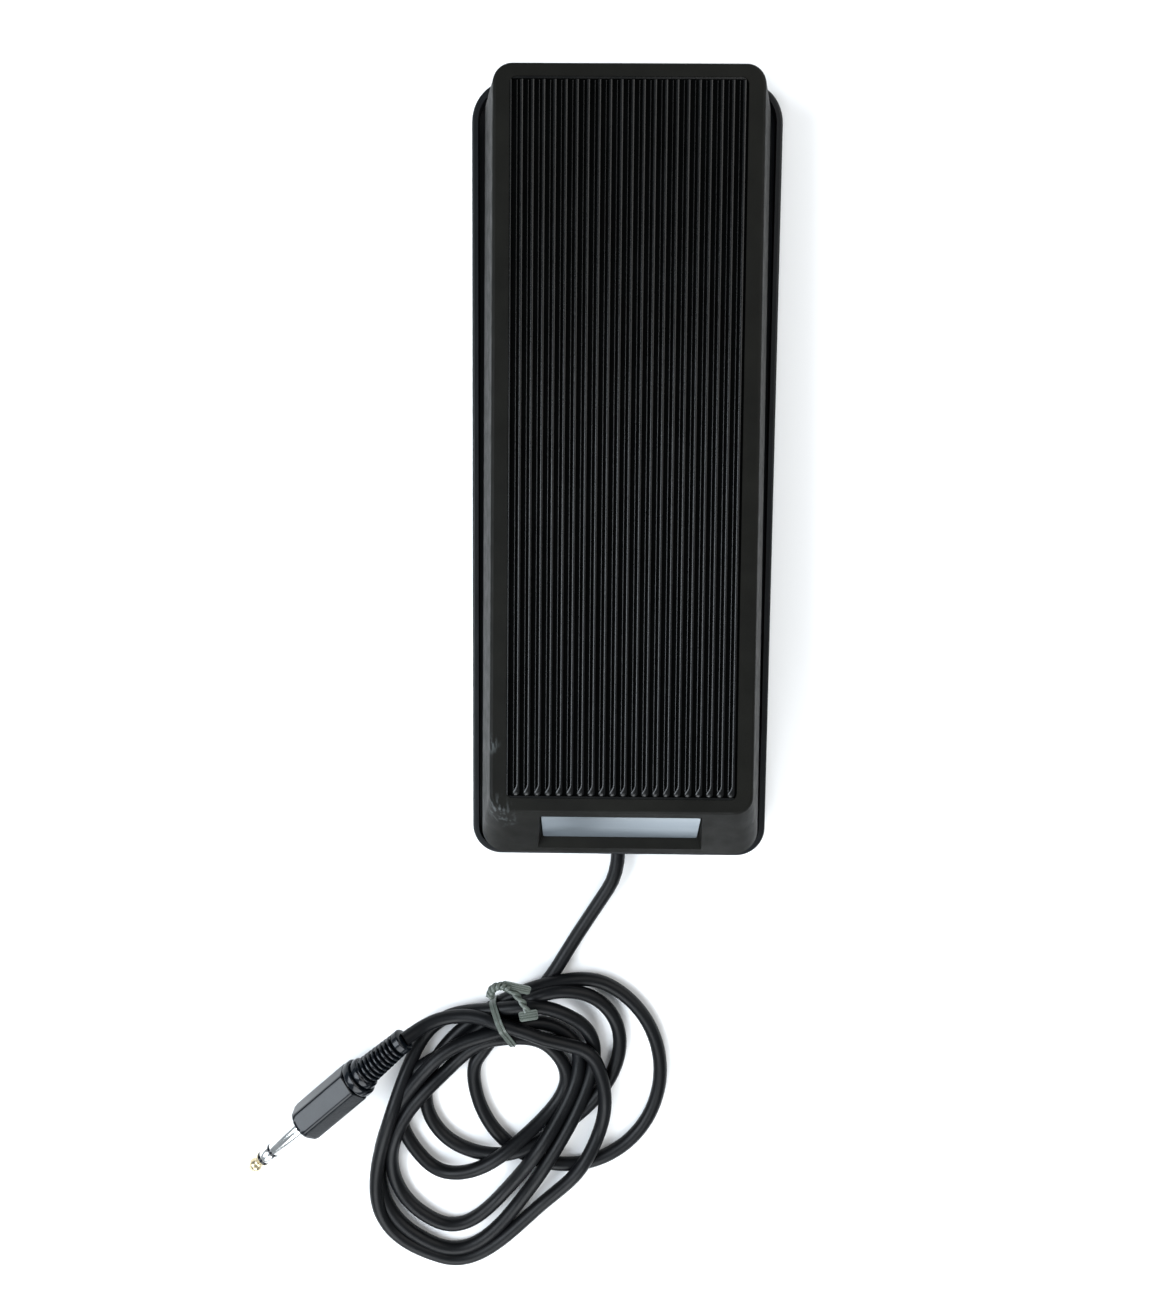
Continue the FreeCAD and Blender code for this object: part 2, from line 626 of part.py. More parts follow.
def gear_sector():
    pitch_radius = MODULE * SECTOR_TEETH / 2
    root = pitch_radius - 1.25 * MODULE
    tip = pitch_radius + 0.85 * MODULE
    pitch = 2 * math.pi / SECTOR_TEETH
    middle = MESH_DIRECTION - math.radians(REST_TILT)
    first = -SECTOR_TEETH_CUT // 2
    outline = [(root, middle + (first - 0.5) * pitch)]
    for number in range(first, first + SECTOR_TEETH_CUT):
        outline += tooth_points(SECTOR_TEETH, middle + number * pitch, root, tip)
    last_angle = middle + (first + SECTOR_TEETH_CUT - 0.5) * pitch
    outline += [(root, last_angle), (root - 8, last_angle)]
    back = [(-27.0, 8.0), (-27.0, SECTOR_FLANGE_TOP), (-40.5, SECTOR_FLANGE_TOP)]
    outline += [(math.hypot(y, z), math.atan2(z, y)) for y, z in back]
    plate = profile_in_side_view(outline, SECTOR_X, SECTOR_THICKNESS)
    flange = box((-8.0, SECTOR_X + SECTOR_THICKNESS), (-45.5, -27.0),
                 (SECTOR_FLANGE_TOP - SECTOR_FLANGE, SECTOR_FLANGE_TOP))
    sector = plate.fuse(flange)
    holes = [cylinder(SCREW_RADIUS, Vector(x, y, 0), SECTOR_FLANGE_TOP) for x, y in SECTOR_BOSSES]
    return sector.cut(holes).removeSplitter()


def gear_sector_screws():
    head_face = SECTOR_FLANGE_TOP - SECTOR_FLANGE
    return Part.makeCompound([pan_screw(x, y, head_face, 6.0, 1) for x, y in SECTOR_BOSSES])


def pot_centre():
    distance = MODULE * (SECTOR_TEETH + PINION_TEETH) / 2
    return Vector(0, distance * math.cos(MESH_DIRECTION), HINGE_HEIGHT + distance * math.sin(MESH_DIRECTION))


PINION_X = 7.5
PINION_FACE = 5.0
PINION_HUB = 1.2
SHAFT_FLAT = 1.3


def shaft_with_flat(x, length):
    """The potentiometer's shaft, with a flat along its pinion end."""
    shaft = cylinder(POT_SHAFT_RADIUS, Vector(x, 0, 0), length, X_AXIS)
    flat = box((x, x + PINION_FACE + PINION_HUB), (-3, 3), (SHAFT_FLAT, 3))
    return shaft.cut(flat)


def pinion():
    pitch_radius = MODULE * PINION_TEETH / 2
    root = pitch_radius - 1.2 * MODULE
    tip = pitch_radius + MODULE
    facing = MESH_DIRECTION + math.pi
    outline = []
    for number in range(PINION_TEETH):
        centre = facing + (number + 0.5) * 2 * math.pi / PINION_TEETH
        outline += tooth_points(PINION_TEETH, centre, root, tip)
    gear = profile_in_side_view(outline, PINION_X, PINION_FACE)
    gear = gear.fuse(cylinder(root - 0.3, Vector(PINION_X + PINION_FACE, 0, 0), PINION_HUB, X_AXIS))
    gear = gear.cut(shaft_with_flat(PINION_X, PINION_FACE + PINION_HUB))
    gear.translate(pot_centre())
    return gear


# ---- potentiometer ---------------------------------------------------------------------

POT_BUSHING_START = 14.6
NUT_THICKNESS = 2.0
WASHER_THICKNESS = 0.5


def pot_shaft():
    shaft = shaft_with_flat(PINION_X, POT_BRACKET_X + POT_SHEET + 3.0 - PINION_X)
    shaft.translate(pot_centre())
    return shaft


def pot_body():
    face = POT_BRACKET_X + POT_SHEET
    can = cylinder(POT_BODY_RADIUS, Vector(face, 0, 0), POT_BODY_LENGTH, X_AXIS)
    rear = [e for e in can.Edges if e.BoundBox.XMin > face + POT_BODY_LENGTH - 0.01]
    can = can.makeFillet(0.8, rear)
    bushing = cylinder(POT_BUSHING_RADIUS, Vector(POT_BUSHING_START, 0, 0), face - POT_BUSHING_START, X_AXIS)
    bore = cylinder(POT_SHAFT_RADIUS + 0.05, Vector(POT_BUSHING_START, 0, 0), face + 3.2 - POT_BUSHING_START, X_AXIS)
    body = can.fuse(bushing).cut(bore)
    body.translate(pot_centre())
    return body


def pot_washer():
    x = POT_BRACKET_X - WASHER_THICKNESS
    return ring(5.5, POT_BUSHING_RADIUS, pot_centre() + Vector(x, 0, 0), WASHER_THICKNESS, X_AXIS)


def pot_nut():
    """A thin hexagon nut on the bushing."""
    x = POT_BRACKET_X - WASHER_THICKNESS - NUT_THICKNESS
    corner = 5.0 / math.cos(math.radians(30))
    outline = [(corner, math.radians(60 * i)) for i in range(6)]
    nut = profile_in_side_view(outline, x, NUT_THICKNESS)
    nut = nut.cut(cylinder(POT_BUSHING_RADIUS, Vector(x, 0, 0), NUT_THICKNESS, X_AXIS))
    nut.translate(pot_centre())
    return nut


def pot_bracket():
    centre = pot_centre()
    floor = TRAY_FLOOR_TOP
    near, far = centre.y - 10.8, centre.y + 10.8
    upright = box((POT_BRACKET_X, POT_BRACKET_X + POT_SHEET), (near, far), (floor, centre.z + 8.6))
    foot = box((POT_BRACKET_X, 32.0), (near, far), (floor, floor + POT_SHEET))
    bore = cylinder(POT_BUSHING_RADIUS, Vector(POT_BRACKET_X, centre.y, centre.z), POT_SHEET, X_AXIS)
    holes = [cylinder(SCREW_RADIUS, Vector(x, y, floor), POT_SHEET) for x, y in POT_SCREWS]
    return upright.fuse(foot).cut([bore] + holes).removeSplitter()


def pot_bracket_screws():
    head_face = TRAY_FLOOR_TOP + POT_SHEET
    shank = head_face - TRAY_FLOOR_LOW - 0.1
    return Part.makeCompound([pan_screw(x, y, head_face, shank, -1) for x, y in POT_SCREWS])


TERMINAL_X = 22.6
TERMINAL_SPREAD = (-5.0, 0.0, 5.0)
TERMINAL_REACH = 13.5


def pot_terminals():
    """Three solder lugs on the toe side of the potentiometer."""
    centre = pot_centre()
    can = cylinder(POT_BODY_RADIUS, Vector(POT_BRACKET_X, 0, 0), POT_BODY_LENGTH, X_AXIS)
    lugs = []
    for rise in TERMINAL_SPREAD:
        lug = box((TERMINAL_X, TERMINAL_X + 0.6), (-TERMINAL_REACH, 0), (rise - 1.2, rise + 1.2)).cut(can)
        lug.translate(centre)
        lugs.append(lug)
    return Part.makeCompound(lugs)


# ---- wiring ----------------------------------------------------------------------------

SHEATH_END = Vector(0, -98.0, TRAY_FLOOR_TOP + CORD_DIAMETER / 2)


def inner_cord():
    """The cord's length inside the tray, from the wall to where its sheath ends."""
    route = [
        (0, -BASE_LENGTH / 2, CORD_EXIT_HEIGHT),
        (0, -134.0, CORD_EXIT_HEIGHT),
        (0, -117.0, SHEATH_END.z),
        (0, SHEATH_END.y, SHEATH_END.z),
    ]
    return round_cord(route, CORD_DIAMETER, "inner cord")


def pot_leads():
    """Three leads from the end of the sheath to the potentiometer's lugs."""
    centre = pot_centre()
    leads = []
    for number, rise in enumerate(TERMINAL_SPREAD):
        offset = (number - 1) * 1.6
        end_y = centre.y - TERMINAL_REACH
        route = [
            (offset, SHEATH_END.y, SHEATH_END.z),
            (offset, SHEATH_END.y + 9, SHEATH_END.z),
            (10.0 + offset * 0.8, -80.0, 10.5 + 0.6 * rise),
            (TERMINAL_X + 0.3, end_y - 7.0, centre.z + rise),
            (TERMINAL_X + 0.3, end_y, centre.z + rise),
        ]
        leads.append(round_cord(route, LEAD_DIAMETER, f"lead {number + 1}"))
    return Part.makeCompound(leads)


def cord_clamp():
    """A saddle that holds the cord down on the tray floor."""
    y_range = (-112.0, -104.0)
    saddle = box((-11.5, 11.5), y_range, (TRAY_FLOOR_TOP, TRAY_FLOOR_TOP + 2.5))
    arch = cylinder(CORD_DIAMETER / 2 + 2.0, Vector(0, y_range[0], SHEATH_END.z), 8.0, Y_AXIS)
    arch = arch.common(box((-10, 10), y_range, (TRAY_FLOOR_TOP, 30)))
    channel = cylinder(CORD_DIAMETER / 2, Vector(0, y_range[0], SHEATH_END.z), 8.0, Y_AXIS)
    half = CORD_DIAMETER / 2
    channel_foot = box((-half, half), y_range, (TRAY_FLOOR_TOP, SHEATH_END.z))
    holes = [cylinder(SCREW_RADIUS, Vector(x, y, TRAY_FLOOR_TOP), 2.5) for x, y in CLAMP_SCREWS]
    return saddle.fuse(arch).cut([channel, channel_foot] + holes).removeSplitter()


def cord_clamp_screws():
    head_face = TRAY_FLOOR_TOP + 2.5
    shank = head_face - TRAY_FLOOR_LOW - 0.1
    return Part.makeCompound([pan_screw(x, y, head_face, shank, -1) for x, y in CLAMP_SCREWS])


# ---- coil, tie and plug ----------------------------------------------------------------

TIE_CENTRE = Vector(-47.0, -220.5, 0)
TIE_HEADING = -68.0
TIE_HALF_SPAN = 17.5
TIE_WIDTH = 3.2
TIE_THICKNESS = 1.0


def cord_coil():
    """The outer shape of the coil: long leaning turns and one wide turn, with the eye open."""
    low = 0.05
    long_turns = ellipse_disc(LONG_TURNS_CENTRE, LONG_TURNS_RADII, LONG_TURNS_LEAN, low, COIL_HEIGHT)
    wide_turn = ellipse_disc(WIDE_TURN_CENTRE, WIDE_TURN_RADII, WIDE_TURN_LEAN, low, CORD_DIAMETER * 1.5)
    eye = ellipse_disc(COIL_EYE_CENTRE, COIL_EYE_RADII, 0, -1, COIL_HEIGHT + 3)
    return long_turns.fuse(wide_turn).cut(eye)


def twist_tie():
    """A flat band round the gathered turns, with its twisted knot and two free ends."""
    low = 0.1
    top = COIL_HEIGHT + 1.6
    outer = box((-TIE_HALF_SPAN, TIE_HALF_SPAN), (-TIE_WIDTH / 2, TIE_WIDTH / 2), (low, top))
    inner = box((-TIE_HALF_SPAN + TIE_THICKNESS, TIE_HALF_SPAN - TIE_THICKNESS),
                (-TIE_WIDTH / 2, TIE_WIDTH / 2), (low + TIE_THICKNESS, top - TIE_THICKNESS))
    band = outer.cut(inner)
    knot = cylinder(2.2, Vector(-TIE_HALF_SPAN + 1.5, -1.0, top), 8.0, Y_AXIS)
    tail = box((-TIE_HALF_SPAN + 1.0, -TIE_HALF_SPAN + 4.0), (6.0, 18.0), (top - 0.5, top + 0.5))
    tie = band.fuse([knot, tail])
    tie.rotate(ORIGIN, Z_AXIS, TIE_HEADING)
    tie.translate(TIE_CENTRE)
    return tie


def turned(outline):
    """A solid turned about the plug's axis; outline is a list of (distance along, radius)."""
    first, last = outline[0][0], outline[-1][0]
    points = [Vector(0, 0, first)] + [Vector(r, 0, z) for z, r in outline] + [Vector(0, 0, last)]
    return Part.Face(Part.makePolygon(points + points[:1])).revolve(ORIGIN, Z_AXIS, 360)


def plug_relief():
    """The ribbed strain relief, from the cord's end to the plug's body."""
    ribbed = RELIEF_LENGTH - RELIEF_END_COLLAR
    pitch = ribbed / RELIEF_RIBS
    outline = [(0, RELIEF_RADIUS_CORD), (RELIEF_END_COLLAR, RELIEF_RADIUS_CORD)]
    for number in range(RELIEF_RIBS):
        start = RELIEF_END_COLLAR + number * pitch
        share = number / (RELIEF_RIBS - 1)
        rib_radius = RELIEF_RADIUS_CORD + (RELIEF_RADIUS_PLUG - RELIEF_RADIUS_CORD) * share
        groove_radius = rib_radius - 1.3
        outline += [(start, groove_radius), (start + 0.45 * pitch, groove_radius)]
        outline += [(start + 0.45 * pitch, rib_radius), (start + pitch, rib_radius)]
    return on_plug(turned(outline))


def plug_body():
    """A six-sided grip with a domed front and two round collars at its rear."""
    start = RELIEF_LENGTH
    end = start + PLUG_BODY_LENGTH
    collars = turned([(start, 6.6), (start + 2.2, 7.0), (start + 2.2, 8.0), (start + 6.2, 8.2)])
    grip_start = start + 6.2
    corners = []
    for number in range(7):
        angle = math.radians(60 * number + 30 + PLUG_GRIP_ROLL)
        corners.append(Vector(PLUG_BODY_RADIUS * math.cos(angle), PLUG_BODY_RADIUS * math.sin(angle), grip_start))
    grip = Part.Face(Part.makePolygon(corners)).extrude(Vector(0, 0, end - grip_start))
    dome_centre = end - PLUG_DOME_RADIUS
    dome = Part.makeSphere(PLUG_DOME_RADIUS, Vector(0, 0, dome_centre))
    dome_side = cylinder(PLUG_DOME_RADIUS, Vector(0, 0, grip_start), dome_centre - grip_start)
    grip = grip.common(dome.fuse(dome_side))
    return on_plug(collars.fuse(grip))


SLEEVE_LENGTH = 16.0
RING_LENGTH = 4.6
INSULATOR_LENGTH = 1.2


def shank_start():
    return RELIEF_LENGTH + PLUG_BODY_LENGTH


def plug_sleeve():
    start = shank_start()
    return on_plug(turned([(start, PLUG_SHANK_RADIUS), (start + SLEEVE_LENGTH, PLUG_SHANK_RADIUS)]))


def plug_ring():
    start = shank_start() + SLEEVE_LENGTH + INSULATOR_LENGTH
    return on_plug(turned([(start, PLUG_SHANK_RADIUS), (start + RING_LENGTH, PLUG_SHANK_RADIUS)]))


def plug_insulators():
    """Two rings, flush with the contacts that they part."""
    first = shank_start() + SLEEVE_LENGTH
    second = first + INSULATOR_LENGTH + RING_LENGTH
    radius = PLUG_SHANK_RADIUS
    rings = [on_plug(turned([(z, radius), (z + INSULATOR_LENGTH, radius)])) for z in (first, second)]
    return Part.makeCompound(rings)


def plug_tip():
    start = shank_start() + SLEEVE_LENGTH + 2 * INSULATOR_LENGTH + RING_LENGTH
    end = shank_start() + PLUG_SHANK_LENGTH
    outline = [
        (start, PLUG_SHANK_RADIUS),
        (start + 1.6, 2.3),
        (start + 2.6, 2.3),
        (start + 4.2, 2.95),
        (start + 5.0, 2.7),
        (end, 1.0),
    ]
    return on_plug(turned(outline))


# ---- write every node ------------------------------------------------------------------

def main():
    os.makedirs("parts", exist_ok=True)
    ear_outer = EAR_INNER + EAR_THICKNESS
    friction_washer = 1.2
    wave_washer = 1.5

    write("base_tray", base_tray())
    write("bottom_plate", bottom_plate())
    write("bottom_plate_screws", bottom_plate_screws())
    write("rubber_feet", rubber_feet())
    write("cord_grommet", cord_grommet())
    write("toe_bumpers", bumpers(-BUMPER_Y))
    write("heel_bumpers", bumpers(BUMPER_Y))

    write("pivot_bracket", pivot_bracket())
    write("pivot_bracket_screws", pivot_bracket_screws())
    write("hinge_shaft", hinge_shaft())
    write("hinge_shaft_clips", hinge_shaft_clips())
    write("friction_washers", washer_pair(7.0, ear_outer, friction_washer))
    write("wave_washers", washer_pair(6.0, ear_outer + friction_washer, wave_washer))
    write("hinge_bushes", on_treadle(hinge_bushes()))

    write("treadle_shell", on_treadle(treadle_shell()))
    write("ribbed_mat", on_treadle(ribbed_mat()))
    write("nameplate", on_treadle(nameplate()))

    write("gear_sector", on_treadle(gear_sector()))
    write("gear_sector_screws", on_treadle(gear_sector_screws()))
    write("pinion", pinion())
    write("pot_shaft", pot_shaft())
    write("pot_body", pot_body())
    write("pot_washer", pot_washer())
    write("pot_nut", pot_nut())
    write("pot_bracket", pot_bracket())
    write("pot_bracket_screws", pot_bracket_screws())
    write("pot_terminals", pot_terminals())
    write("pot_leads", pot_leads())

    write("inner_cord", inner_cord())
    write("cord_clamp", cord_clamp())
    write("cord_clamp_screws", cord_clamp_screws())
    write("cord_tube", round_cord(CORD_ROUTE, CORD_DIAMETER, "cord tube"))
    write("cord_coil", cord_coil())
    write("twist_tie", twist_tie())

    write("plug_relief", plug_relief())
    write("plug_body", plug_body())
    write("plug_sleeve", plug_sleeve())
    write("plug_ring", plug_ring())
    write("plug_insulators", plug_insulators())
    write("plug_tip", plug_tip())


main()
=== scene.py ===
import json
import math

import bmesh
import bpy
import numpy
from mathutils import Euler, Matrix, Vector


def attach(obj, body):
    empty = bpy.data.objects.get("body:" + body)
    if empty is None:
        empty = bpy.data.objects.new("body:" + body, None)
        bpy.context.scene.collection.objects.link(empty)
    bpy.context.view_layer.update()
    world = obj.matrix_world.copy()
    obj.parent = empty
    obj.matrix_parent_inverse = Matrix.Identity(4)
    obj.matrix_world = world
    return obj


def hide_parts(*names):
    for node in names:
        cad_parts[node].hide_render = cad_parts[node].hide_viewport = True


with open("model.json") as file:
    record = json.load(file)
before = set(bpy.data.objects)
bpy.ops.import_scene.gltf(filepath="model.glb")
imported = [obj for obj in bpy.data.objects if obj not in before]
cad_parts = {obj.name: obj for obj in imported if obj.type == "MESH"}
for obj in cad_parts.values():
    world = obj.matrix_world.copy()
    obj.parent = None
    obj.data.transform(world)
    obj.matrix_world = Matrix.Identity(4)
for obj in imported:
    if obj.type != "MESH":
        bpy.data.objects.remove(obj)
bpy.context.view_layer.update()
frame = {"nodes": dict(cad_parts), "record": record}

# The scene is in metres, in the pedal's own frame: +X right, -Y toe end, +Z up, floor at z = 0.
# The mat's, plug's and tie's own sizes are in millimetres, and MM turns them into metres.
MM = 0.001


# ---- camera ----------------------------------------------------------------------------

# the height above the floor is chosen; the rest follows from it and the pedal's outline
CAMERA_PLACE = (-0.00915, -0.01648, 0.480)
CAMERA_TURN_DEGREES = (-6.32, 0.68, 0.5)
CAMERA_LENS = 21.72
CAMERA_SENSOR_HEIGHT = 24.0


def make_camera():
    data = bpy.data.cameras.new("camera")
    data.sensor_fit = "VERTICAL"
    data.sensor_height = CAMERA_SENSOR_HEIGHT
    data.lens = CAMERA_LENS
    data.clip_start = 0.01
    camera = bpy.data.objects.new("camera", data)
    camera.location = CAMERA_PLACE
    camera.rotation_euler = Euler([math.radians(turn) for turn in CAMERA_TURN_DEGREES], "XYZ")
    bpy.context.scene.collection.objects.link(camera)
    bpy.context.scene.camera = camera


# ---- the cord's route ------------------------------------------------------------------

CORD_DIAMETER = 0.0058
CORD_REST = CORD_DIAMETER / 2 + 0.05 * MM

# the stretch from the tray's grommet to the coil, as the CAD lays it
CORD_ROUTE = [
    (0.0, -0.1500, 0.0069),
    (0.0, -0.1595, 0.0069),
    (-0.0080, -0.1730, 0.0046),
    (-0.0175, -0.1885, CORD_REST),
    (-0.0280, -0.2065, CORD_REST),
]
# under the tie and into the first turn
LEAD_IN = [(-0.0361, -0.2138), (-0.0445, -0.2239), (-0.0521, -0.2325)]
# from the last turn to the plug
LEAD_OUT = [(-0.0300, -0.2295), (-0.0390, -0.2248), (-0.0480, -0.2222), (-0.0564, -0.2195),
            (-0.0690, -0.2204), (-0.0785, -0.2235)]

# The coil's turns in the order they are wound, the last on top.  Each is a rounded oval: its middle,
# its long radius, its left side, its right side and which way the long radius leans, in millimetres
# and degrees.  A side is its short radius, how flat it is (2 is an ellipse) and its taper: above 0 it
# is wider at the end that the long radius leans to.  The turns are tied only at their pedal end, so
# they differ in size and fan out towards -X and -Y.
TURNS = [
    ((-21, -246), 42, (39, 2.0, 0.0), (40, 2.0, 0.0), 90),
    ((-39, -246), 45, (30, 2.2, 0.0), (30, 2.1, 0.0), 36),
    ((-55, -260), 37, (28, 2.2, -0.2), (21, 3.0, 0.0), 38),
    ((-53, -269), 51, (30, 2.2, -0.2), (23, 3.1, 0.0), 57),
    ((-53, -270), 60, (37, 2.2, -0.1), (29, 3.1, 0.0), 60),
    ((-54, -274), 60, (41, 3.0, 0.0), (42, 2.0, 0.3), 72),
]
# the winding's first heading, its end and the step between points, in degrees round each middle
WINDING_START = 177
WINDING_END = 2205
WINDING_STEP = 3
# the headings between which one turn gives way to the next, under the tie
CHANGE_START = 68
CHANGE_END = 128

PLUG_CORD_END = Vector((-0.0872, -0.2285, 0.0139))
PLUG_HEADING = 222.8
PLUG_DIP = 5.3

# how the turns rest on each other, and how far the band under them lifts them at the tie
TIE_CENTRE = Vector((-0.0482, -0.2205, 0))
TIE_LIFT = 1.0 * MM
TIE_LIFT_NEAR = 0.008
TIE_LIFT_FAR = 0.034
POINT_SPACING = 0.006
HUMP_SLOPE = 0.28
# two strands cross while the cosine between their headings is under the first, and nest fully
# once it is a band above
CROSSING_COSINE = 0.8
NESTING_BAND = 0.15
NESTING = 0.75
SAME_STRETCH = 3.5 * CORD_DIAMETER
SMOOTHING_POINTS = 5
SETTLING_ROUNDS = 30
# the last stretch, over which the cord rises to the plug
RISE_TO_PLUG = 0.030


def oval_point(turn, heading):
    """The point of one turn that lies at a heading from its middle."""
    (middle_x, middle_y), long_radius, left, right, lean = turn
    forward = math.cos(math.radians(heading - lean))
    sideways = math.sin(math.radians(heading - lean))
    short_radius, flatness, taper = left if sideways > 0 else right
    short_radius *= 1 + taper * forward
    size = abs(forward / long_radius) ** flatness + abs(sideways / short_radius) ** flatness
    reach = size ** (-1 / flatness)
    angle = math.radians(heading)
    return Vector((middle_x + reach * math.cos(angle), middle_y + reach * math.sin(angle))) * MM


def winding():
    """The turns run into each other where the tie holds them."""
    points = []
    for heading in range(WINDING_START, WINDING_END, WINDING_STEP):
        number = (heading - CHANGE_START) // 360
        into_change = (heading - CHANGE_START) % 360 / (CHANGE_END - CHANGE_START)
        share = min(into_change, 1.0)
        share = share * share * (3 - 2 * share)
        before = oval_point(TURNS[max(number - 1, 0)], heading)
        after = oval_point(TURNS[min(number, len(TURNS) - 1)], heading)
        points.append(tuple(before.lerp(after, share)))
    return points


def evenly_spaced(points):
    """The same line with a point every POINT_SPACING, and how far along it each one is."""
    points = numpy.array(points)
    along = numpy.r_[0, numpy.cumsum(numpy.linalg.norm(numpy.diff(points, axis=0), axis=1))]
    stations = numpy.linspace(0, along[-1], round(along[-1] / POINT_SPACING))
    return numpy.array([numpy.interp(stations, along, column) for column in points.T]).T, stations


def resting_heights(plan, along):
    """Each stretch rests on whatever was laid before it, in long low humps; side by side they nest."""
    heading = numpy.gradient(plan, axis=0)
    heading /= numpy.linalg.norm(heading, axis=1)[:, None]
    alikeness = numpy.clip((numpy.abs(heading @ heading.T) - CROSSING_COSINE) / NESTING_BAND, 0, 1)
    reach = CORD_DIAMETER * (1 - (1 - NESTING) * alikeness)
    apart = numpy.linalg.norm(plan[:, None] - plan[None], axis=2)
    gap = along[:, None] - along[None]
    under = (gap > SAME_STRETCH) & (apart < reach)
    lift = numpy.sqrt(numpy.maximum(reach ** 2 - apart ** 2, 0))
    weights = numpy.hanning(SMOOTHING_POINTS + 2)[1:-1]
    weights /= weights.sum()
    from_tie = numpy.linalg.norm(plan - numpy.array(TIE_CENTRE[:2]), axis=1)
    ground = CORD_REST + TIE_LIFT * numpy.interp(from_tie, (TIE_LIFT_NEAR, TIE_LIFT_FAR), (1, 0))
    height = ground.copy()
    for _ in range(SETTLING_ROUNDS):
        resting = numpy.maximum(ground, numpy.where(under, height[None] + lift, 0).max(axis=1))
        humps = (resting[None] - HUMP_SLOPE * numpy.abs(gap)).max(axis=1)
        padded = numpy.pad(humps, SMOOTHING_POINTS // 2, mode="edge")
        height = numpy.maximum(numpy.convolve(padded, weights, "valid"), ground)
    return height


def cord_points():
    """The control points: the straight stretch as listed, then the turns, then the run to the plug."""
    coil = [point[:2] for point in CORD_ROUTE[-1:]] + LEAD_IN + winding() + LEAD_OUT
    plan, along = evenly_spaced(coil + [tuple(PLUG_CORD_END[:2])])
    heights = resting_heights(plan, along)
    to_plug = numpy.clip((along - along[-1] + RISE_TO_PLUG) / RISE_TO_PLUG, 0, 1)
    heights += (PLUG_CORD_END.z - heights[-1]) * to_plug ** 2
    laid = [tuple(point) + (height,) for point, height in zip(plan.tolist(), heights.tolist())]
    return CORD_ROUTE[:-1] + laid


def spline_curve(name, points, radius):
    """A round cord along one smooth open spline."""
    curve = bpy.data.curves.new(name, "CURVE")
    curve.dimensions = "3D"
    spline = curve.splines.new("NURBS")
    spline.points.add(len(points) - 1)
    for knot, point in zip(spline.points, points):
        knot.co = (*point, 1.0)
    spline.order_u = 3
    spline.use_endpoint_u = True
    spline.resolution_u = 4
    curve.bevel_depth = radius
    curve.bevel_resolution = 5
    curve.use_fill_caps = True
    piece = bpy.data.objects.new(name, curve)
    bpy.context.scene.collection.objects.link(piece)
    return piece


# ---- materials -------------------------------------------------------------------------

def nodes_of(material):
    material.use_nodes = True
    return material.node_tree.nodes, material.node_tree.links


def new_material(name, colour, roughness, metallic=0.0, specular=0.5):
    material = bpy.data.materials.new(name)
    shader = nodes_of(material)[0]["Principled BSDF"]
    shader.inputs["Base Color"].default_value = (*colour, 1.0)
    shader.inputs["Roughness"].default_value = roughness
    shader.inputs["Metallic"].default_value = metallic
    shader.inputs["Specular IOR Level"].default_value = specular
    return material, shader


def noise(material, scale, detail=3.0, stretch=(1, 1, 1)):
    """A noise texture in the object's own coordinates, in cycles per metre."""
    nodes, links = nodes_of(material)
    coordinates = nodes.new("ShaderNodeTexCoord")
    mapping = nodes.new("ShaderNodeMapping")
    mapping.inputs["Scale"].default_value = stretch
    texture = nodes.new("ShaderNodeTexNoise")
    texture.inputs["Scale"].default_value = scale
    texture.inputs["Detail"].default_value = detail
    links.new(coordinates.outputs["Object"], mapping.inputs["Vector"])
    links.new(mapping.outputs["Vector"], texture.inputs["Vector"])
    return texture.outputs["Fac"]


def ramp(material, source, stops):
    """A colour ramp; stops are (position, colour)."""
    nodes, links = nodes_of(material)
    node = nodes.new("ShaderNodeValToRGB")
    elements = node.color_ramp.elements
    while len(elements) < len(stops):
        elements.new(0.5)
    for element, (position, colour) in zip(elements, stops):
        element.position = position
        element.color = (*colour, 1.0)
    links.new(source, node.inputs["Fac"])
    return node.outputs["Color"]


def spread(material, source, low, high):
    """Maps the middle of a noise, where nearly all of it lies, to low to high."""
    nodes, links = nodes_of(material)
    node = nodes.new("ShaderNodeMapRange")
    node.inputs["From Min"].default_value = 0.3
    node.inputs["From Max"].default_value = 0.7
    node.inputs["To Min"].default_value = low
    node.inputs["To Max"].default_value = high
    links.new(source, node.inputs["Value"])
    return node.outputs["Result"]


def bump(material, source, distance, strength=1.0):
    nodes, links = nodes_of(material)
    node = nodes.new("ShaderNodeBump")
    node.inputs["Strength"].default_value = strength
    node.inputs["Distance"].default_value = distance
    links.new(source, node.inputs["Height"])
    links.new(node.outputs["Normal"], nodes["Principled BSDF"].inputs["Normal"])


def grained(name, dark, light, roughness, grain, depth, specular=0.5, stretch=(1, 1, 1), metallic=0.0):
    """A surface with fine grain, patches of slightly different tone and uneven gloss."""
    material, shader = new_material(name, dark, sum(roughness) / 2, metallic, specular)
    links = nodes_of(material)[1]
    patches = noise(material, 60.0, 4.0, stretch)
    links.new(ramp(material, patches, [(0.35, dark), (0.7, light)]), shader.inputs["Base Color"])
    links.new(spread(material, noise(material, 180.0, 3.0, stretch), *roughness), shader.inputs["Roughness"])
    bump(material, noise(material, grain, 2.0, stretch), depth)
    return material


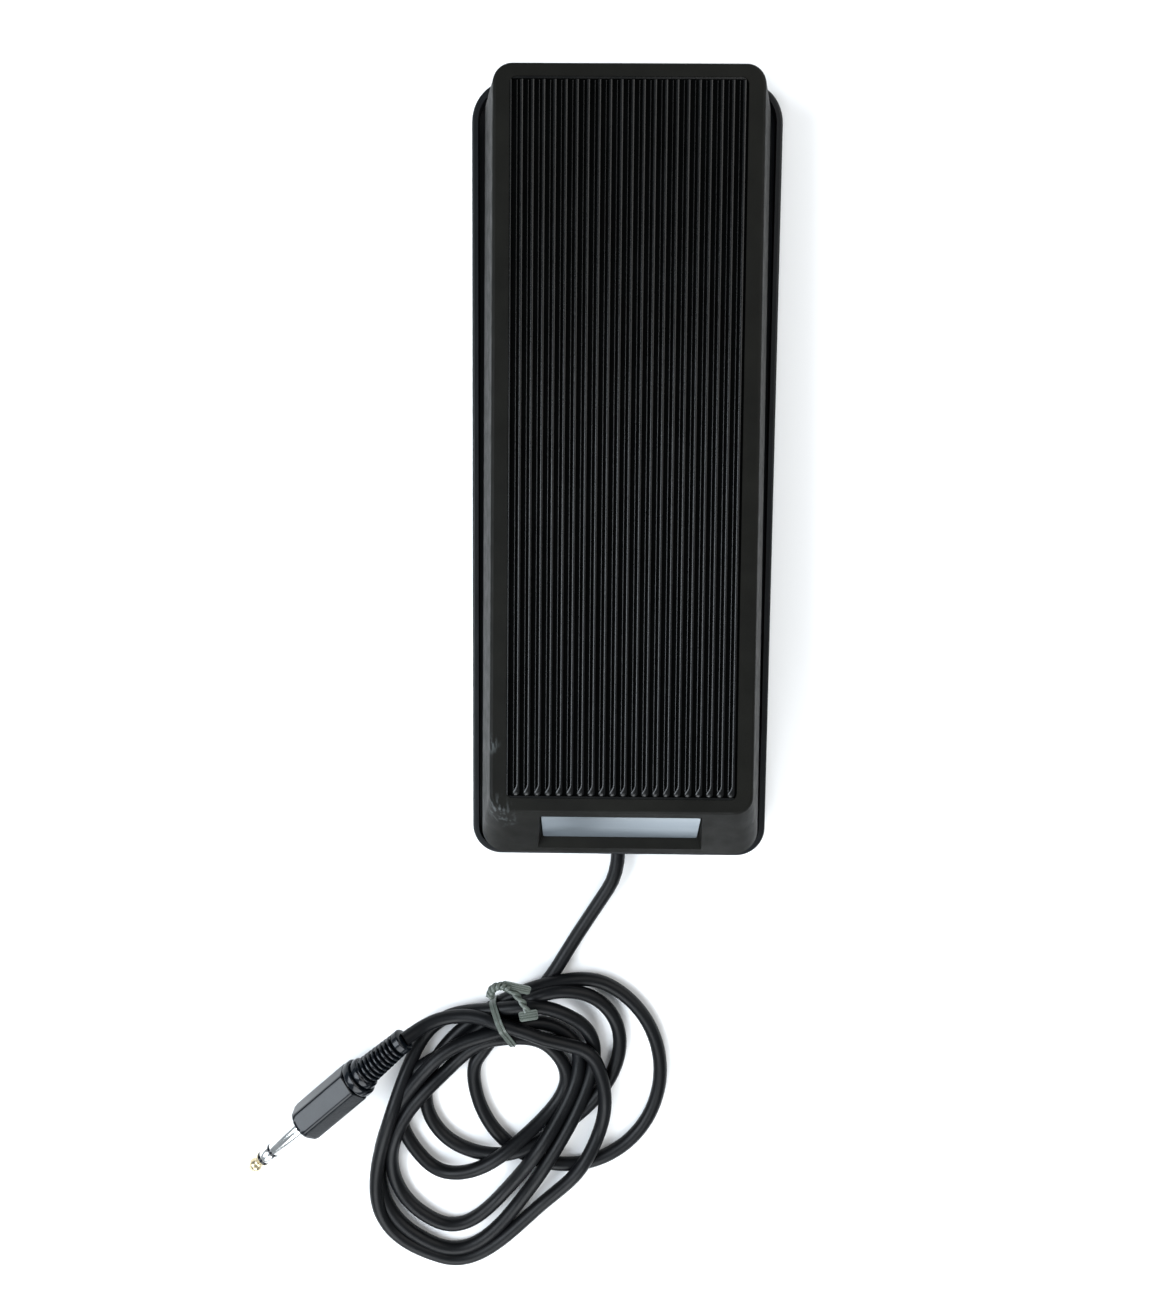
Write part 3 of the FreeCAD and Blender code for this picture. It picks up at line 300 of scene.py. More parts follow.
def scuffed(material, places, colour):
    """Pale scuffs where the surface is knocked; places are (point, reach) in metres."""
    nodes, links = nodes_of(material)
    shader = nodes["Principled BSDF"]
    coordinates = nodes.new("ShaderNodeTexCoord")
    flecks = noise(material, 700.0, 5.0, (1, 0.35, 1))
    amount = None
    for point, reach in places:
        away = nodes.new("ShaderNodeVectorMath")
        away.operation = "DISTANCE"
        away.inputs[1].default_value = point
        links.new(coordinates.outputs["Object"], away.inputs[0])
        near = nodes.new("ShaderNodeMapRange")
        near.inputs["From Min"].default_value = reach
        near.inputs["From Max"].default_value = reach * 0.3
        links.new(away.outputs["Value"], near.inputs["Value"])
        if amount is None:
            amount = near.outputs["Result"]
            continue
        both = nodes.new("ShaderNodeMath")
        both.operation = "MAXIMUM"
        links.new(amount, both.inputs[0])
        links.new(near.outputs["Result"], both.inputs[1])
        amount = both.outputs["Value"]
    broken = nodes.new("ShaderNodeMath")
    broken.operation = "MULTIPLY"
    links.new(amount, broken.inputs[0])
    links.new(ramp(material, flecks, [(0.50, (0, 0, 0)), (0.62, (1, 1, 1))]), broken.inputs[1])
    mix = nodes.new("ShaderNodeMix")
    mix.data_type = "RGBA"
    links.new(broken.outputs["Value"], mix.inputs["Factor"])
    links.new(shader.inputs["Base Color"].links[0].from_socket, mix.inputs["A"])
    mix.inputs["B"].default_value = (*colour, 1.0)
    links.new(mix.outputs["Result"], shader.inputs["Base Color"])


# knocks on the treadle's left toe edge: place and reach, in metres
TREADLE_SCUFFS = [
    ((-0.0487, -0.0975, 0.0525), 0.0045),
    ((-0.0470, -0.1235, 0.0525), 0.0085),
    ((-0.0440, -0.1285, 0.0510), 0.0070),
]


def make_materials():
    look = {}
    look["base_plastic"] = grained(
        "base_plastic", (0.0040, 0.0046, 0.0054), (0.0060, 0.0068, 0.0080), (0.34, 0.44), 2200, 0.00003, 0.17)
    look["treadle_plastic"] = grained(
        "treadle_plastic", (0.0036, 0.0036, 0.0029), (0.0055, 0.0055, 0.0044), (0.46, 0.58), 2600,
        0.00005, 0.09)
    scuffed(look["treadle_plastic"], TREADLE_SCUFFS, (0.050, 0.055, 0.056))
    look["mat_rubber"] = grained(
        "mat_rubber", (0.0007, 0.0008, 0.0008), (0.0020, 0.0022, 0.0023), (0.22, 0.32), 1500, 0.00003, 0.30)
    # painted shade: the groove floors and the slab's sides take a darker, rougher, less glossy rubber that
    # stands in for the shade deep in the grooves
    look["mat_groove_painted_shade"] = grained(
        "mat_groove_painted_shade", (0.0006, 0.0007, 0.0007), (0.0012, 0.0014, 0.0014), (0.75, 0.85), 1500, 0.00003, 0.02)
    look["plate_metal"] = grained(
        "plate_metal", (0.20, 0.235, 0.265), (0.27, 0.305, 0.335), (0.30, 0.42), 900, 0.00002, 0.5,
        stretch=(0.05, 1, 1), metallic=0.75)
    look["zinc_steel"] = grained(
        "zinc_steel", (0.46, 0.46, 0.47), (0.60, 0.60, 0.61), (0.26, 0.40), 1200, 0.00002, metallic=1.0)
    look["black_steel"] = grained(
        "black_steel", (0.010, 0.010, 0.011), (0.017, 0.017, 0.018), (0.42, 0.55), 1400, 0.00006)
    look["foot_rubber"] = grained(
        "foot_rubber", (0.008, 0.008, 0.008), (0.014, 0.014, 0.014), (0.62, 0.76), 1200, 0.00006, 0.3)
    look["nylon"] = grained(
        "nylon", (0.62, 0.60, 0.53), (0.72, 0.70, 0.63), (0.38, 0.48), 900, 0.00003)
    look["fibre"] = grained(
        "fibre", (0.20, 0.06, 0.035), (0.30, 0.10, 0.06), (0.60, 0.75), 1600, 0.00005, 0.3)
    look["lead_plastic"] = grained(
        "lead_plastic", (0.36, 0.03, 0.025), (0.45, 0.05, 0.04), (0.28, 0.38), 700, 0.00002)
    look["cord_rubber"] = grained(
        "cord_rubber", (0.0026, 0.0029, 0.0034), (0.0042, 0.0046, 0.0054), (0.34, 0.44), 900, 0.00003, 0.13)
    look["tie_plastic"] = grained(
        "tie_plastic", (0.044, 0.055, 0.045), (0.085, 0.101, 0.087), (0.34, 0.48), 1500, 0.00005)
    look["plug_plastic"] = grained(
        "plug_plastic", (0.0026, 0.0038, 0.0056), (0.0042, 0.0062, 0.0088), (0.15, 0.21), 1100, 0.00002, 0.21)
    look["plug_nickel"] = grained(
        "plug_nickel", (0.70, 0.71, 0.70), (0.82, 0.83, 0.82), (0.16, 0.24), 1500, 0.00001, metallic=1.0)
    look["plug_brass"] = grained(
        "plug_brass", (0.48, 0.40, 0.25), (0.66, 0.58, 0.40), (0.22, 0.34), 1500, 0.00001, metallic=1.0)
    return look


def paint(piece, material):
    piece.data.materials.clear()
    piece.data.materials.append(material)


EDGE_WIDTH = 0.5 * MM


def soften_edges(node):
    """A moulded edge is never quite sharp, and its rounding catches the light."""
    bevel = frame["nodes"][node].modifiers.new("edge", "BEVEL")
    bevel.width = EDGE_WIDTH
    bevel.segments = 2
    bevel.limit_method = "ANGLE"
    bevel.angle_limit = math.radians(40)
    bevel.harden_normals = True


def paint_nodes(look):
    """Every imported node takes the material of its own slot."""
    for part in frame["record"]["subparts"]:
        piece = frame["nodes"][part["node"]]
        paint(piece, look[part["material_slot"]])
    for node in ("base_tray", "treadle_shell", "nameplate"):
        soften_edges(node)


# ---- mesh making -----------------------------------------------------------------------

SHARP_ANGLE = 38


class Build:
    """Collects rings of points into one mesh; a run of rings that stays open is capped at both ends."""

    def __init__(self):
        self.vertices = []
        self.faces = []
        self.finishes = []

    def loft(self, rings, finish=0, closed=False):
        start = len(self.vertices)
        count = len(rings[0])
        for ring in rings:
            self.vertices += [Vector(point) for point in ring]
        rows = len(rings) if closed else len(rings) - 1
        faces = []
        for row in range(rows):
            here = start + row * count
            there = start + ((row + 1) % len(rings)) * count
            for column in range(count):
                after = (column + 1) % count
                faces.append((here + column, here + after, there + after, there + column))
        if not closed:
            last = start + (len(rings) - 1) * count
            faces.append(tuple(start + column for column in reversed(range(count))))
            faces.append(tuple(last + column for column in range(count)))
        self.faces += faces
        self.finishes += [finish] * len(faces)

    def piece(self, name, materials, matrix=Matrix.Identity(4)):
        mesh = bpy.data.meshes.new(name)
        mesh.from_pydata([matrix @ point for point in self.vertices], [], self.faces)
        for material in materials:
            mesh.materials.append(material)
        mesh.polygons.foreach_set("material_index", self.finishes)
        work = bmesh.new()
        work.from_mesh(mesh)
        bmesh.ops.remove_doubles(work, verts=work.verts, dist=1e-7)
        bmesh.ops.recalc_face_normals(work, faces=work.faces)
        work.to_mesh(mesh)
        work.free()
        mesh.shade_smooth()
        mesh.set_sharp_from_angle(angle=math.radians(SHARP_ANGLE))
        piece = bpy.data.objects.new(name, mesh)
        bpy.context.scene.collection.objects.link(piece)
        return piece


def turn_ring(radius_at, place, sides):
    """A ring round the +Z axis; radius_at gives the radius at an angle."""
    ring = []
    for side in range(sides):
        angle = 2 * math.pi * side / sides
        radius = radius_at(angle)
        ring.append((radius * math.cos(angle), radius * math.sin(angle), place))
    return ring


def turned(outline, sides=64):
    """Rings for a turned shape; outline is (distance along, radius) in millimetres."""
    return [turn_ring(lambda angle: radius * MM, along * MM, sides) for along, radius in outline]


# ---- ribbed mat ------------------------------------------------------------------------

# heights and places are in the treadle's frame, whose origin is on the hinge
HINGE_HEIGHT = 22.0
REST_TILT = -2.67
TREADLE_TOP = 25.8
MAT_HALF_WIDTH = 42.35
MAT_TOE = -118.65
MAT_HEEL = 139.55
MAT_CORNER = 2.5
MAT_UNDERSIDE = 24.62
GROOVE_FLOOR = 24.85
RIB_COUNT = 21
RIB_PITCH = 3.95
FIRST_RIB_X = -38.1
RIB_HALF_WIDTH = 0.66
RIB_CREST = 26.38
SMALL_RIB_OFFSET = -1.65
SMALL_RIB_HALF_WIDTH = 0.30
SMALL_RIB_CREST = 25.60
EDGE_RIB_X = -41.95
EDGE_RIB_HALF_WIDTH = 0.36
EDGE_RIB_CREST = RIB_CREST - 0.1
RIB_TOE = -117.9
RIB_HEEL = 138.3
SMALL_RIB_SET_BACK = 0.6
EDGE_RIB_SET_BACK = 0.4
RIB_FOOT = MAT_UNDERSIDE + 0.1
# the smooth strip across each end of the mat
STRIP_DEPTH = 1.25
STRIP_FOOT = GROOVE_FLOOR - 0.05
STRIP_SHOULDER = TREADLE_TOP - 0.14
STRIP_CREST = TREADLE_TOP - 0.04
STRIP_NARROWING = 0.998
STRIP_SET_BACK = 0.08
RIB_END_LENGTH = 4.6

# the toe end of each rib swells sideways over the small rib beside it and ends in a rounded pad:
# distance from the end, sideways shift, half width and crest, in millimetres
RIB_END = [
    (0.0, -0.85, 0.55, 25.60),
    (0.3, -0.80, 1.10, 25.95),
    (0.9, -0.72, 1.42, 26.20),
    (1.8, -0.62, 1.40, 26.26),
    (2.7, -0.30, 1.05, 26.32),
    (3.6, -0.06, 0.78, 26.36),
    (RIB_END_LENGTH, 0.0, RIB_HALF_WIDTH, RIB_CREST),
]


def treadle_matrix():
    return Matrix.Translation((0, 0, HINGE_HEIGHT * MM)) @ Matrix.Rotation(math.radians(REST_TILT), 4, "X")


def millimetres(points):
    return [(x * MM, y * MM, z * MM) for x, y, z in points]


def rib_ring(x, y, half, crest):
    """A rib's section: upright sides and a rounded crest."""
    profile = [(-1.0, None), (-1.0, -0.62), (-0.92, -0.40), (-0.74, -0.20), (-0.42, -0.05), (0.0, 0.0),
               (0.42, -0.05), (0.74, -0.20), (0.92, -0.40), (1.0, -0.62), (1.0, None)]
    ring = []
    for share, drop in profile:
        z = RIB_FOOT if drop is None else crest + drop
        ring.append((x + share * half, y, z))
    return millimetres(ring)


def mat_outline():
    """The mat's rounded rectangle, anticlockwise from the middle of its right side."""
    corners = [(1, MAT_HEEL, 0), (-1, MAT_HEEL, 90), (-1, MAT_TOE, 180), (1, MAT_TOE, 270)]
    outline = [(MAT_HALF_WIDTH, 0.0)]
    for side, end, first in corners:
        centre_x = side * (MAT_HALF_WIDTH - MAT_CORNER)
        centre_y = end - math.copysign(MAT_CORNER, end)
        for step in range(7):
            angle = math.radians(first + 15 * step)
            outline.append((centre_x + MAT_CORNER * math.cos(angle), centre_y + MAT_CORNER * math.sin(angle)))
    return outline


def make_mat(look):
    build = Build()
    # material index 1 is the painted-shade rubber for the groove floors
    rubber, shaded_groove = 0, 1
    outline = mat_outline()
    # the slab, whose top is the groove floor, takes the painted-shade rubber
    build.loft([millimetres([(x, y, z) for x, y in outline]) for z in (MAT_UNDERSIDE, GROOVE_FLOOR)], shaded_groove)
    for end in (MAT_TOE, MAT_HEEL):
        strip = [(x, y) for x, y in outline if abs(y - end) < STRIP_DEPTH]
        heights = (STRIP_FOOT, STRIP_SHOULDER)
        rings = [[(x, y, z) for x, y in strip] for z in heights]
        rings.append([(x * STRIP_NARROWING, y - math.copysign(STRIP_SET_BACK, y), STRIP_CREST)
                      for x, y in strip])
        build.loft([millimetres(ring) for ring in rings], rubber)
    for number in range(RIB_COUNT):
        x = FIRST_RIB_X + number * RIB_PITCH
        rings = [rib_ring(x + shift, RIB_TOE + along, half, crest) for along, shift, half, crest in RIB_END]
        for share in (0.25, 0.5, 0.75, 1.0):
            y = RIB_TOE + RIB_END_LENGTH + share * (RIB_HEEL - RIB_TOE - RIB_END_LENGTH)
            rings.append(rib_ring(x, y, RIB_HALF_WIDTH, RIB_CREST))
        build.loft(rings, rubber)
        small_x = x + SMALL_RIB_OFFSET
        ends = (RIB_TOE + SMALL_RIB_SET_BACK, RIB_HEEL)
        build.loft([rib_ring(small_x, y, SMALL_RIB_HALF_WIDTH, SMALL_RIB_CREST) for y in ends], rubber)
    ends = (RIB_TOE + EDGE_RIB_SET_BACK, RIB_HEEL)
    build.loft([rib_ring(EDGE_RIB_X, y, EDGE_RIB_HALF_WIDTH, EDGE_RIB_CREST) for y in ends], rubber)
    mat = build.piece("ribbed_mat_surface", [look["mat_rubber"], look["mat_groove_painted_shade"]], treadle_matrix())
    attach(mat, "treadle")
    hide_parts("ribbed_mat")


# ---- plug ------------------------------------------------------------------------------

# lengths run from the cord's end of the plug to its tip
RELIEF_LENGTH = 22.6
RELIEF_COLLAR = 3.4
RELIEF_RIBS = 9
RELIEF_RADIUS_CORD = 5.0
RELIEF_RADIUS_PLUG = 6.0
RELIEF_GROOVE_DEPTH = 1.45
RELIEF_SPINE_DEPTH = 0.35
RELIEF_COLLAR_ROUNDING = 0.6
RELIEF_RIB_ROUNDING = 0.28
RELIEF_RINGS = 226
# the share of a rib's pitch that its wall takes, and the sine from which a side counts as spine
RELIEF_WALL_SHARE = 0.06
SPINE_START = 0.90
SPINE_STEEPNESS = 3
PLUG_BODY_END = 61.5
GRIP_START = 28.8
GRIP_APOTHEM = 7.53
GRIP_ROLL = 22.0
GRIP_CORNER_POWER = 24
DOME_RADIUS = 11.5
SHANK_RADIUS = 3.175
SLEEVE_LENGTH = 16.0
INSULATOR_LENGTH = 1.2
RING_LENGTH = 4.6
SHANK_LENGTH = 30.5
# each contact's edges are eased, and the insulators lie a hair lower
CONTACT_EDGE = 0.2
CONTACT_EDGE_DROP = 0.15
INSULATOR_DROP = 0.12


def plug_matrix():
    """+Z runs from the cord's end to the tip; local -X is up."""
    heading = Matrix.Rotation(math.radians(PLUG_HEADING), 4, "Z")
    dip = Matrix.Rotation(math.radians(90 + PLUG_DIP), 4, "Y")
    return Matrix.Translation(PLUG_CORD_END) @ heading @ dip


def plug_piece(build, name, material, node):
    piece = build.piece(name, [material], plug_matrix())
    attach(piece, "base")
    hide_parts(node)
    return piece


def relief_radius(along, angle):
    """Ribs with gaps between them, joined by a spine down each side."""
    pitch = (RELIEF_LENGTH - RELIEF_COLLAR) / RELIEF_RIBS
    share = max(0.0, (along - RELIEF_COLLAR) / (RELIEF_LENGTH - RELIEF_COLLAR))
    outer = RELIEF_RADIUS_CORD + (RELIEF_RADIUS_PLUG - RELIEF_RADIUS_CORD) * share
    if along <= RELIEF_COLLAR:
        edge = min(along, RELIEF_COLLAR - along)
        return outer - RELIEF_COLLAR_ROUNDING * max(0.0, 1 - edge / RELIEF_COLLAR_ROUNDING) ** 2
    phase = ((along - RELIEF_COLLAR) % pitch) / pitch
    open_share = min(1.0, max(0.0, min(phase, 0.5 - phase) / RELIEF_WALL_SHARE))
    spine = max(0.0, abs(math.sin(angle)) - SPINE_START) / (1 - SPINE_START)
    filled = min(1.0, SPINE_STEEPNESS * spine)
    depth = RELIEF_GROOVE_DEPTH + (RELIEF_SPINE_DEPTH - RELIEF_GROOVE_DEPTH) * filled
    rounding = 0.0 if phase < 0.5 else RELIEF_RIB_ROUNDING * (abs(phase - 0.75) / 0.25) ** 4
    return outer - depth * open_share - rounding


def make_plug_relief(look):
    build = Build()
    rings = []
    for step in range(RELIEF_RINGS + 1):
        along = RELIEF_LENGTH * step / RELIEF_RINGS
        ring = turn_ring(lambda angle: relief_radius(along, angle) * MM, along * MM, 72)
        rings.append(ring)
    build.loft(rings)
    plug_piece(build, "plug_relief_ribs", look["plug_plastic"], "plug_relief")


def grip_radius(angle, along):
    """A hexagon with rounded corners, cut by the domed front."""
    norm = 0.0
    for face in range(3):
        norm += abs(math.cos(angle - math.radians(GRIP_ROLL) - face * math.pi / 3)) ** GRIP_CORNER_POWER
    hexagon = GRIP_APOTHEM / norm ** (1 / GRIP_CORNER_POWER)
    beyond = along - (PLUG_BODY_END - DOME_RADIUS)
    dome = math.sqrt(max(0.0, DOME_RADIUS ** 2 - beyond ** 2)) if beyond > 0 else DOME_RADIUS
    return min(hexagon, max(dome, SHANK_RADIUS))


def make_plug_body(look):
    build = Build()
    # distance from the grip's start and radius
    collars = [(-6.6, 5.6), (-6.6, 6.2), (-6.2, 6.7), (-4.6, 7.0), (-4.2, 6.8), (-4.1, 6.2), (-3.7, 6.2),
               (-3.6, 7.6), (-3.2, 8.0), (-1.2, 8.2), (-0.7, 7.9), (-0.6, 7.0), (0.2, 7.0)]
    build.loft(turned([(GRIP_START + along, radius) for along, radius in collars], 72))
    # distance along and the share of the grip's full size
    grip = [(GRIP_START, 0.90), (GRIP_START + 0.15, 0.96), (GRIP_START + 0.5, 1.0)]
    grip += [(PLUG_BODY_END - back, 1.0) for back in (22, 12, 9, 7, 5.5, 4.3, 3.3, 2.5, 1.9, 1.4, 1.0, 0.7)]
    rings = []
    for along, scale in grip:
        rings.append(turn_ring(lambda angle: scale * grip_radius(angle, along) * MM, along * MM, 144))
    rings.append(turn_ring(lambda angle: SHANK_RADIUS * MM, PLUG_BODY_END * MM, 144))
    build.loft(rings)
    plug_piece(build, "plug_grip", look["plug_plastic"], "plug_body")


def make_plug_shank(look):
    """Sleeve, ring and tip contacts, with two insulating rings between them."""
    start = PLUG_BODY_END
    sleeve_end = start + SLEEVE_LENGTH
    ring_start = sleeve_end + INSULATOR_LENGTH
    ring_end = ring_start + RING_LENGTH
    tip_start = ring_end + INSULATOR_LENGTH
    tip_end = start + SHANK_LENGTH
    r = SHANK_RADIUS
    sleeve = Build()
    eased = r - CONTACT_EDGE_DROP
    sleeve.loft(turned([(start - CONTACT_EDGE, r), (sleeve_end - CONTACT_EDGE, r), (sleeve_end, eased)]))
    plug_piece(sleeve, "plug_sleeve_contact", look["plug_nickel"], "plug_sleeve")
    ring = Build()
    ring.loft(turned([(ring_start, eased), (ring_start + CONTACT_EDGE, r), (ring_end - CONTACT_EDGE, r),
                      (ring_end, eased)]))
    plug_piece(ring, "plug_ring_contact", look["plug_nickel"], "plug_ring")
    insulators = Build()
    for first in (sleeve_end, ring_end):
        low = r - INSULATOR_DROP
        insulators.loft(turned([(first, low), (first + INSULATOR_LENGTH, low)]))
    plug_piece(insulators, "plug_insulator_rings", look["plug_plastic"], "plug_insulators")
    tip = Build()
    outline = [(tip_start, r - 0.1), (tip_start + 0.2, r), (tip_start + 0.9, 2.85), (tip_start + 1.6, 2.35),
               (tip_start + 2.2, 2.22), (tip_start + 2.8, 2.35), (tip_start + 3.5, 2.75),
               (tip_start + 4.2, 2.95), (tip_start + 4.9, 2.85), (tip_start + 5.8, 2.3),
               (tip_end - 0.6, 1.7), (tip_end - 0.2, 1.35), (tip_end, 0.9)]
    tip.loft(turned(outline))
    plug_piece(tip, "plug_tip_contact", look["plug_brass"], "plug_tip")


# ---- twist tie -------------------------------------------------------------------------

TIE_HEADING = -64.5
TIE_REACH = 19
TIE_HALF_WIDTH = 1.45
TIE_THICKNESS = 0.45
TIE_WIRE = 0.38
# the ridge over a wire: half its width at the foot and at the shoulder, and how high the shoulder is
RIDGE_FOOT = 0.42
RIDGE_SHOULDER = 0.2
RIDGE_SHOULDER_SHARE = 0.8
# a twisted strand is wider than it is thick
STRAND_SECTION = (1.25, 0.8)
STRAND_SIDES = 10
BAND_POINTS = 72
# how far the band stands off the strands, how far to each side of it strands count, its lowest height
BAND_CLEARANCE = 0.15
BAND_SECTION = 1.5
BAND_LOWEST = 0.9
SECTION_STEP = 15

# the knot, along its middle, and the two ends that leave it
KNOT = [(-51.6, -209.0, 16.6), (-51.2, -205.6, 17.6), (-49.0, -203.6, 18.4), (-46.0, -203.2, 18.5),
        (-43.6, -204.6, 18.3)]
FLAT_END = [(-46.5, -203.0, 17.6), (-43.0, -203.4, 18.2), (-39.0, -204.5, 18.0), (-35.3, -205.6, 17.2)]
TWISTED_END = [(-43.8, -204.6, 18.4), (-41.2, -206.6, 18.6), (-38.9, -209.4, 18.3), (-37.0, -212.6, 17.8),
               (-36.4, -214.6, 17.4)]
LAST_FLAT = [(-39.6, -216.7, 17.5), (-37.4, -216.2, 17.6), (-34.8, -215.9, 17.3), (-32.2, -215.6, 16.9)]


def smooth_path(points, count):
    """Evenly spaced places along a smooth line near the points."""
    spline = spline_curve("guide", [Vector(point) * MM for point in points], 0)
    mesh = bpy.data.meshes.new_from_object(spline)
    line = numpy.array([tuple(vertex.co) for vertex in mesh.vertices])
    bpy.data.objects.remove(spline)
    bpy.data.meshes.remove(mesh)
    along = numpy.r_[0, numpy.cumsum(numpy.linalg.norm(numpy.diff(line, axis=0), axis=1))]
    stations = numpy.linspace(0, along[-1], count)
    return [Vector(place) for place in zip(*[numpy.interp(stations, along, column) for column in line.T])]


def directions(path, closed=False):
    found = []
    for number in range(len(path)):
        before = path[number - 1] if closed or number else path[0]
        after = path[(number + 1) % len(path)] if closed or number < len(path) - 1 else path[-1]
        found.append((after - before).normalized())
    return found


def ribbon(build, path, across, outward, half_width, ridges=(0.0,), closed=False):
    """A flat band along a path, with a rounded ridge over each wire or rib inside it."""
    rings = []
    for number, place in enumerate(path):
        side, out = across[number], outward[number]
        taper = 1.0
        if not closed:
            taper = min(1.0, 0.75 + 0.25 * min(number, len(path) - 1 - number))
        profile = [(-half_width, 0.0), (-half_width, TIE_THICKNESS)]
        for ridge in ridges:
            shoulder = TIE_THICKNESS + RIDGE_SHOULDER_SHARE * TIE_WIRE
            profile += [(ridge - RIDGE_FOOT, TIE_THICKNESS), (ridge - RIDGE_SHOULDER, shoulder),
                        (ridge, TIE_THICKNESS + TIE_WIRE), (ridge + RIDGE_SHOULDER, shoulder),
                        (ridge + RIDGE_FOOT, TIE_THICKNESS)]
        profile += [(half_width, TIE_THICKNESS), (half_width, 0.0)]
        rings.append([place + side * (u * taper * MM) + out * (v * MM) for u, v in profile])
    build.loft(rings, closed=closed)


def outline_round(points):
    """The convex outline of flat points, anticlockwise."""
    points = sorted(set(points))
    halves = []
    for run in (points, points[::-1]):
        half = []
        for point in run:
            while len(half) > 1:
                (x0, y0), (x1, y1) = half[-2:]
                if (x1 - x0) * (point[1] - y0) - (y1 - y0) * (point[0] - x0) > 0:
                    break
                half.pop()
            half.append(point)
        halves += half[:-1]
    return halves


def band_path(strands):
    """The band lies tight round the strands that it ties."""
    angle = math.radians(TIE_HEADING)
    along = Vector((math.cos(angle), math.sin(angle), 0))
    across = Vector((-along.y, along.x, 0))
    clear = CORD_DIAMETER / 2 + BAND_CLEARANCE * MM
    section = []
    for place in strands:
        offset = place - TIE_CENTRE
        if abs(offset.dot(across)) > BAND_SECTION * MM or abs(offset.dot(along)) > TIE_REACH * MM:
            continue
        for degrees in range(0, 360, SECTION_STEP):
            turn = math.radians(degrees)
            height = max(place.z + clear * math.sin(turn), BAND_LOWEST * MM)
            section.append((round(offset.dot(along) + clear * math.cos(turn), 6), round(height, 6)))
    outline = outline_round(section)
    corners = [TIE_CENTRE + along * s + Vector((0, 0, z)) for s, z in outline]
    corners.append(corners[0])
    lengths = numpy.r_[0, numpy.cumsum([(b - a).length for a, b in zip(corners, corners[1:])])]
    stations = numpy.linspace(0, lengths[-1], BAND_POINTS, endpoint=False)
    columns = [numpy.interp(stations, lengths, column) for column in numpy.array(corners).T]
    path = [Vector(place) for place in zip(*columns)]
    return path, across


def twisted_pair(build, points, radius, turns, thickness, count):
    """Two strands wound round each other along a line."""
    path = smooth_path(points, count)
    for phase in (0, math.pi):
        middle = []
        for number, (place, ahead) in enumerate(zip(path, directions(path))):
            side = ahead.cross(Vector((0, 0, 1))).normalized()
            up = side.cross(ahead)
            turn = phase + 2 * math.pi * turns * number / (count - 1)
            middle.append(place + (side * math.cos(turn) + up * math.sin(turn)) * radius * MM)
        wide, thin = STRAND_SECTION
        rings = []
        for place, ahead in zip(middle, directions(middle)):
            side = ahead.cross(Vector((0, 0, 1))).normalized()
            up = side.cross(ahead)
            ring = []
            for step in range(STRAND_SIDES):
                angle = 2 * math.pi * step / STRAND_SIDES
                spoke = side * math.cos(angle) * wide + up * math.sin(angle) * thin
                ring.append(place + spoke * thickness * MM)
            rings.append(ring)
        build.loft(rings)


def flat_end(build, points, half_width, ridges):
    """A loose flat end of the tie."""
    path = smooth_path(points, 14)
    across = [ahead.cross(Vector((0, 0, 1))).normalized() for ahead in directions(path)]
    up = [side.cross(ahead) for side, ahead in zip(across, directions(path))]
    ribbon(build, path, across, up, half_width, ridges)


def make_tie(look, cord):
    strands_mesh = bpy.data.meshes.new_from_object(cord_line(cord))
    strands = [vertex.co.copy() for vertex in strands_mesh.vertices]
    path, across = band_path(strands)
    build = Build()
    outward = [across.cross(ahead).normalized() for ahead in directions(path, closed=True)]
    middle = sum(path, Vector()) / len(path)
    if outward[0].dot(path[0] - middle) < 0:
        outward = [-out for out in outward]
    ribbon(build, path, [across] * len(path), outward, TIE_HALF_WIDTH, closed=True)
    twisted_pair(build, KNOT, 0.95, 3.0, 0.72, 90)
    flat_end(build, FLAT_END, 1.75, (-0.85, 0.0, 0.85))
    twisted_pair(build, TWISTED_END, 0.75, 1.6, 0.62, 60)
    flat_end(build, LAST_FLAT, 2.1, (-1.05, 0.0, 1.05))
    tie = build.piece("twist_tie_band", [look["tie_plastic"]])
    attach(tie, "base")
    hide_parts("twist_tie")
    return tie


def cord_line(cord):
    """The cord's centreline alone, as a curve with no thickness."""
    line = cord.copy()
    line.data = cord.data.copy()
    line.data.bevel_depth = 0
    return line


# ---- cord ------------------------------------------------------------------------------

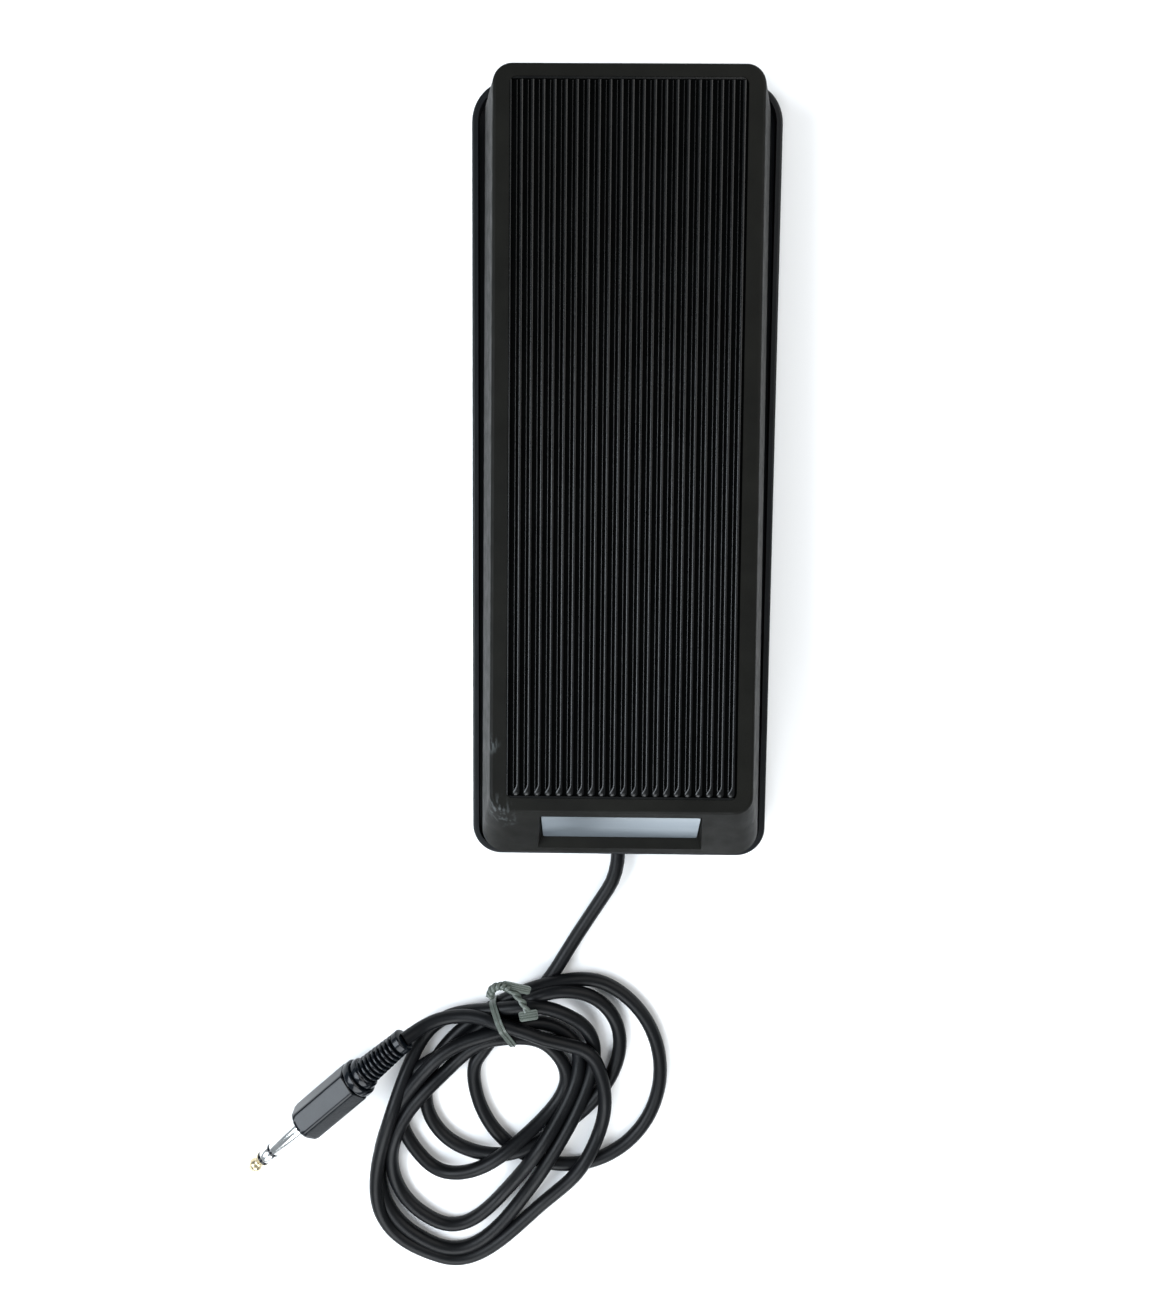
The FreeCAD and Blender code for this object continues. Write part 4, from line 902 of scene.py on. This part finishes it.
def make_cord(look):
    points = cord_points()
    cord = spline_curve("cord", points, CORD_DIAMETER / 2)
    paint(cord, look["cord_rubber"])
    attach(cord, "base")
    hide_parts("cord_tube", "cord_coil")
    return cord


# ---- stage -----------------------------------------------------------------------------

def make_floor():
    material, shader = new_material("floor_paper", (0.93, 0.93, 0.93), 0.9)
    mesh = bpy.data.meshes.new("floor")
    reach = 3.0
    corners = [(-reach, -reach, 0), (reach, -reach, 0), (reach, reach, 0), (-reach, reach, 0)]
    mesh.from_pydata(corners, [], [(0, 1, 2, 3)])
    floor = bpy.data.objects.new("floor", mesh)
    bpy.context.scene.collection.objects.link(floor)
    paint(floor, material)


def area_light(name, place, target, size, power, colour=(1, 1, 1)):
    data = bpy.data.lights.new(name, "AREA")
    data.shape = "RECTANGLE"
    data.size, data.size_y = size
    data.energy = power
    data.color = colour
    light = bpy.data.objects.new(name, data)
    light.location = place
    light.rotation_euler = (Vector(target) - Vector(place)).to_track_quat("-Z", "Y").to_euler()
    bpy.context.scene.collection.objects.link(light)


def make_light():
    """A large cool window on the left, another on the toe side, a fill from the heel and a pale room."""
    world = bpy.data.worlds.new("studio")
    world.use_nodes = True
    background = world.node_tree.nodes["Background"]
    background.inputs["Color"].default_value = (0.86, 0.93, 1.0, 1.0)
    background.inputs["Strength"].default_value = 0.32
    bpy.context.scene.world = world
    middle = (-0.03, -0.10, 0)
    area_light("window", (-1.15, -0.15, 1.20), middle, (1.0, 1.0), 36.0, (0.86, 0.93, 1.0))
    area_light("fill", (1.2, 0.9, 1.3), middle, (1.8, 1.8), 28.0, (1.0, 0.985, 0.96))
    area_light("toe_window", (-0.20, -1.45, 1.10), middle, (1.2, 1.2), 32.0, (0.93, 0.97, 1.0))
    bpy.context.scene.view_settings.view_transform = "Standard"


# ---- all together ----------------------------------------------------------------------

make_camera()
look = make_materials()
cord = make_cord(look)
paint_nodes(look)
make_mat(look)
make_plug_relief(look)
make_plug_body(look)
make_plug_shank(look)
tie = make_tie(look, cord)
make_floor()
make_light()
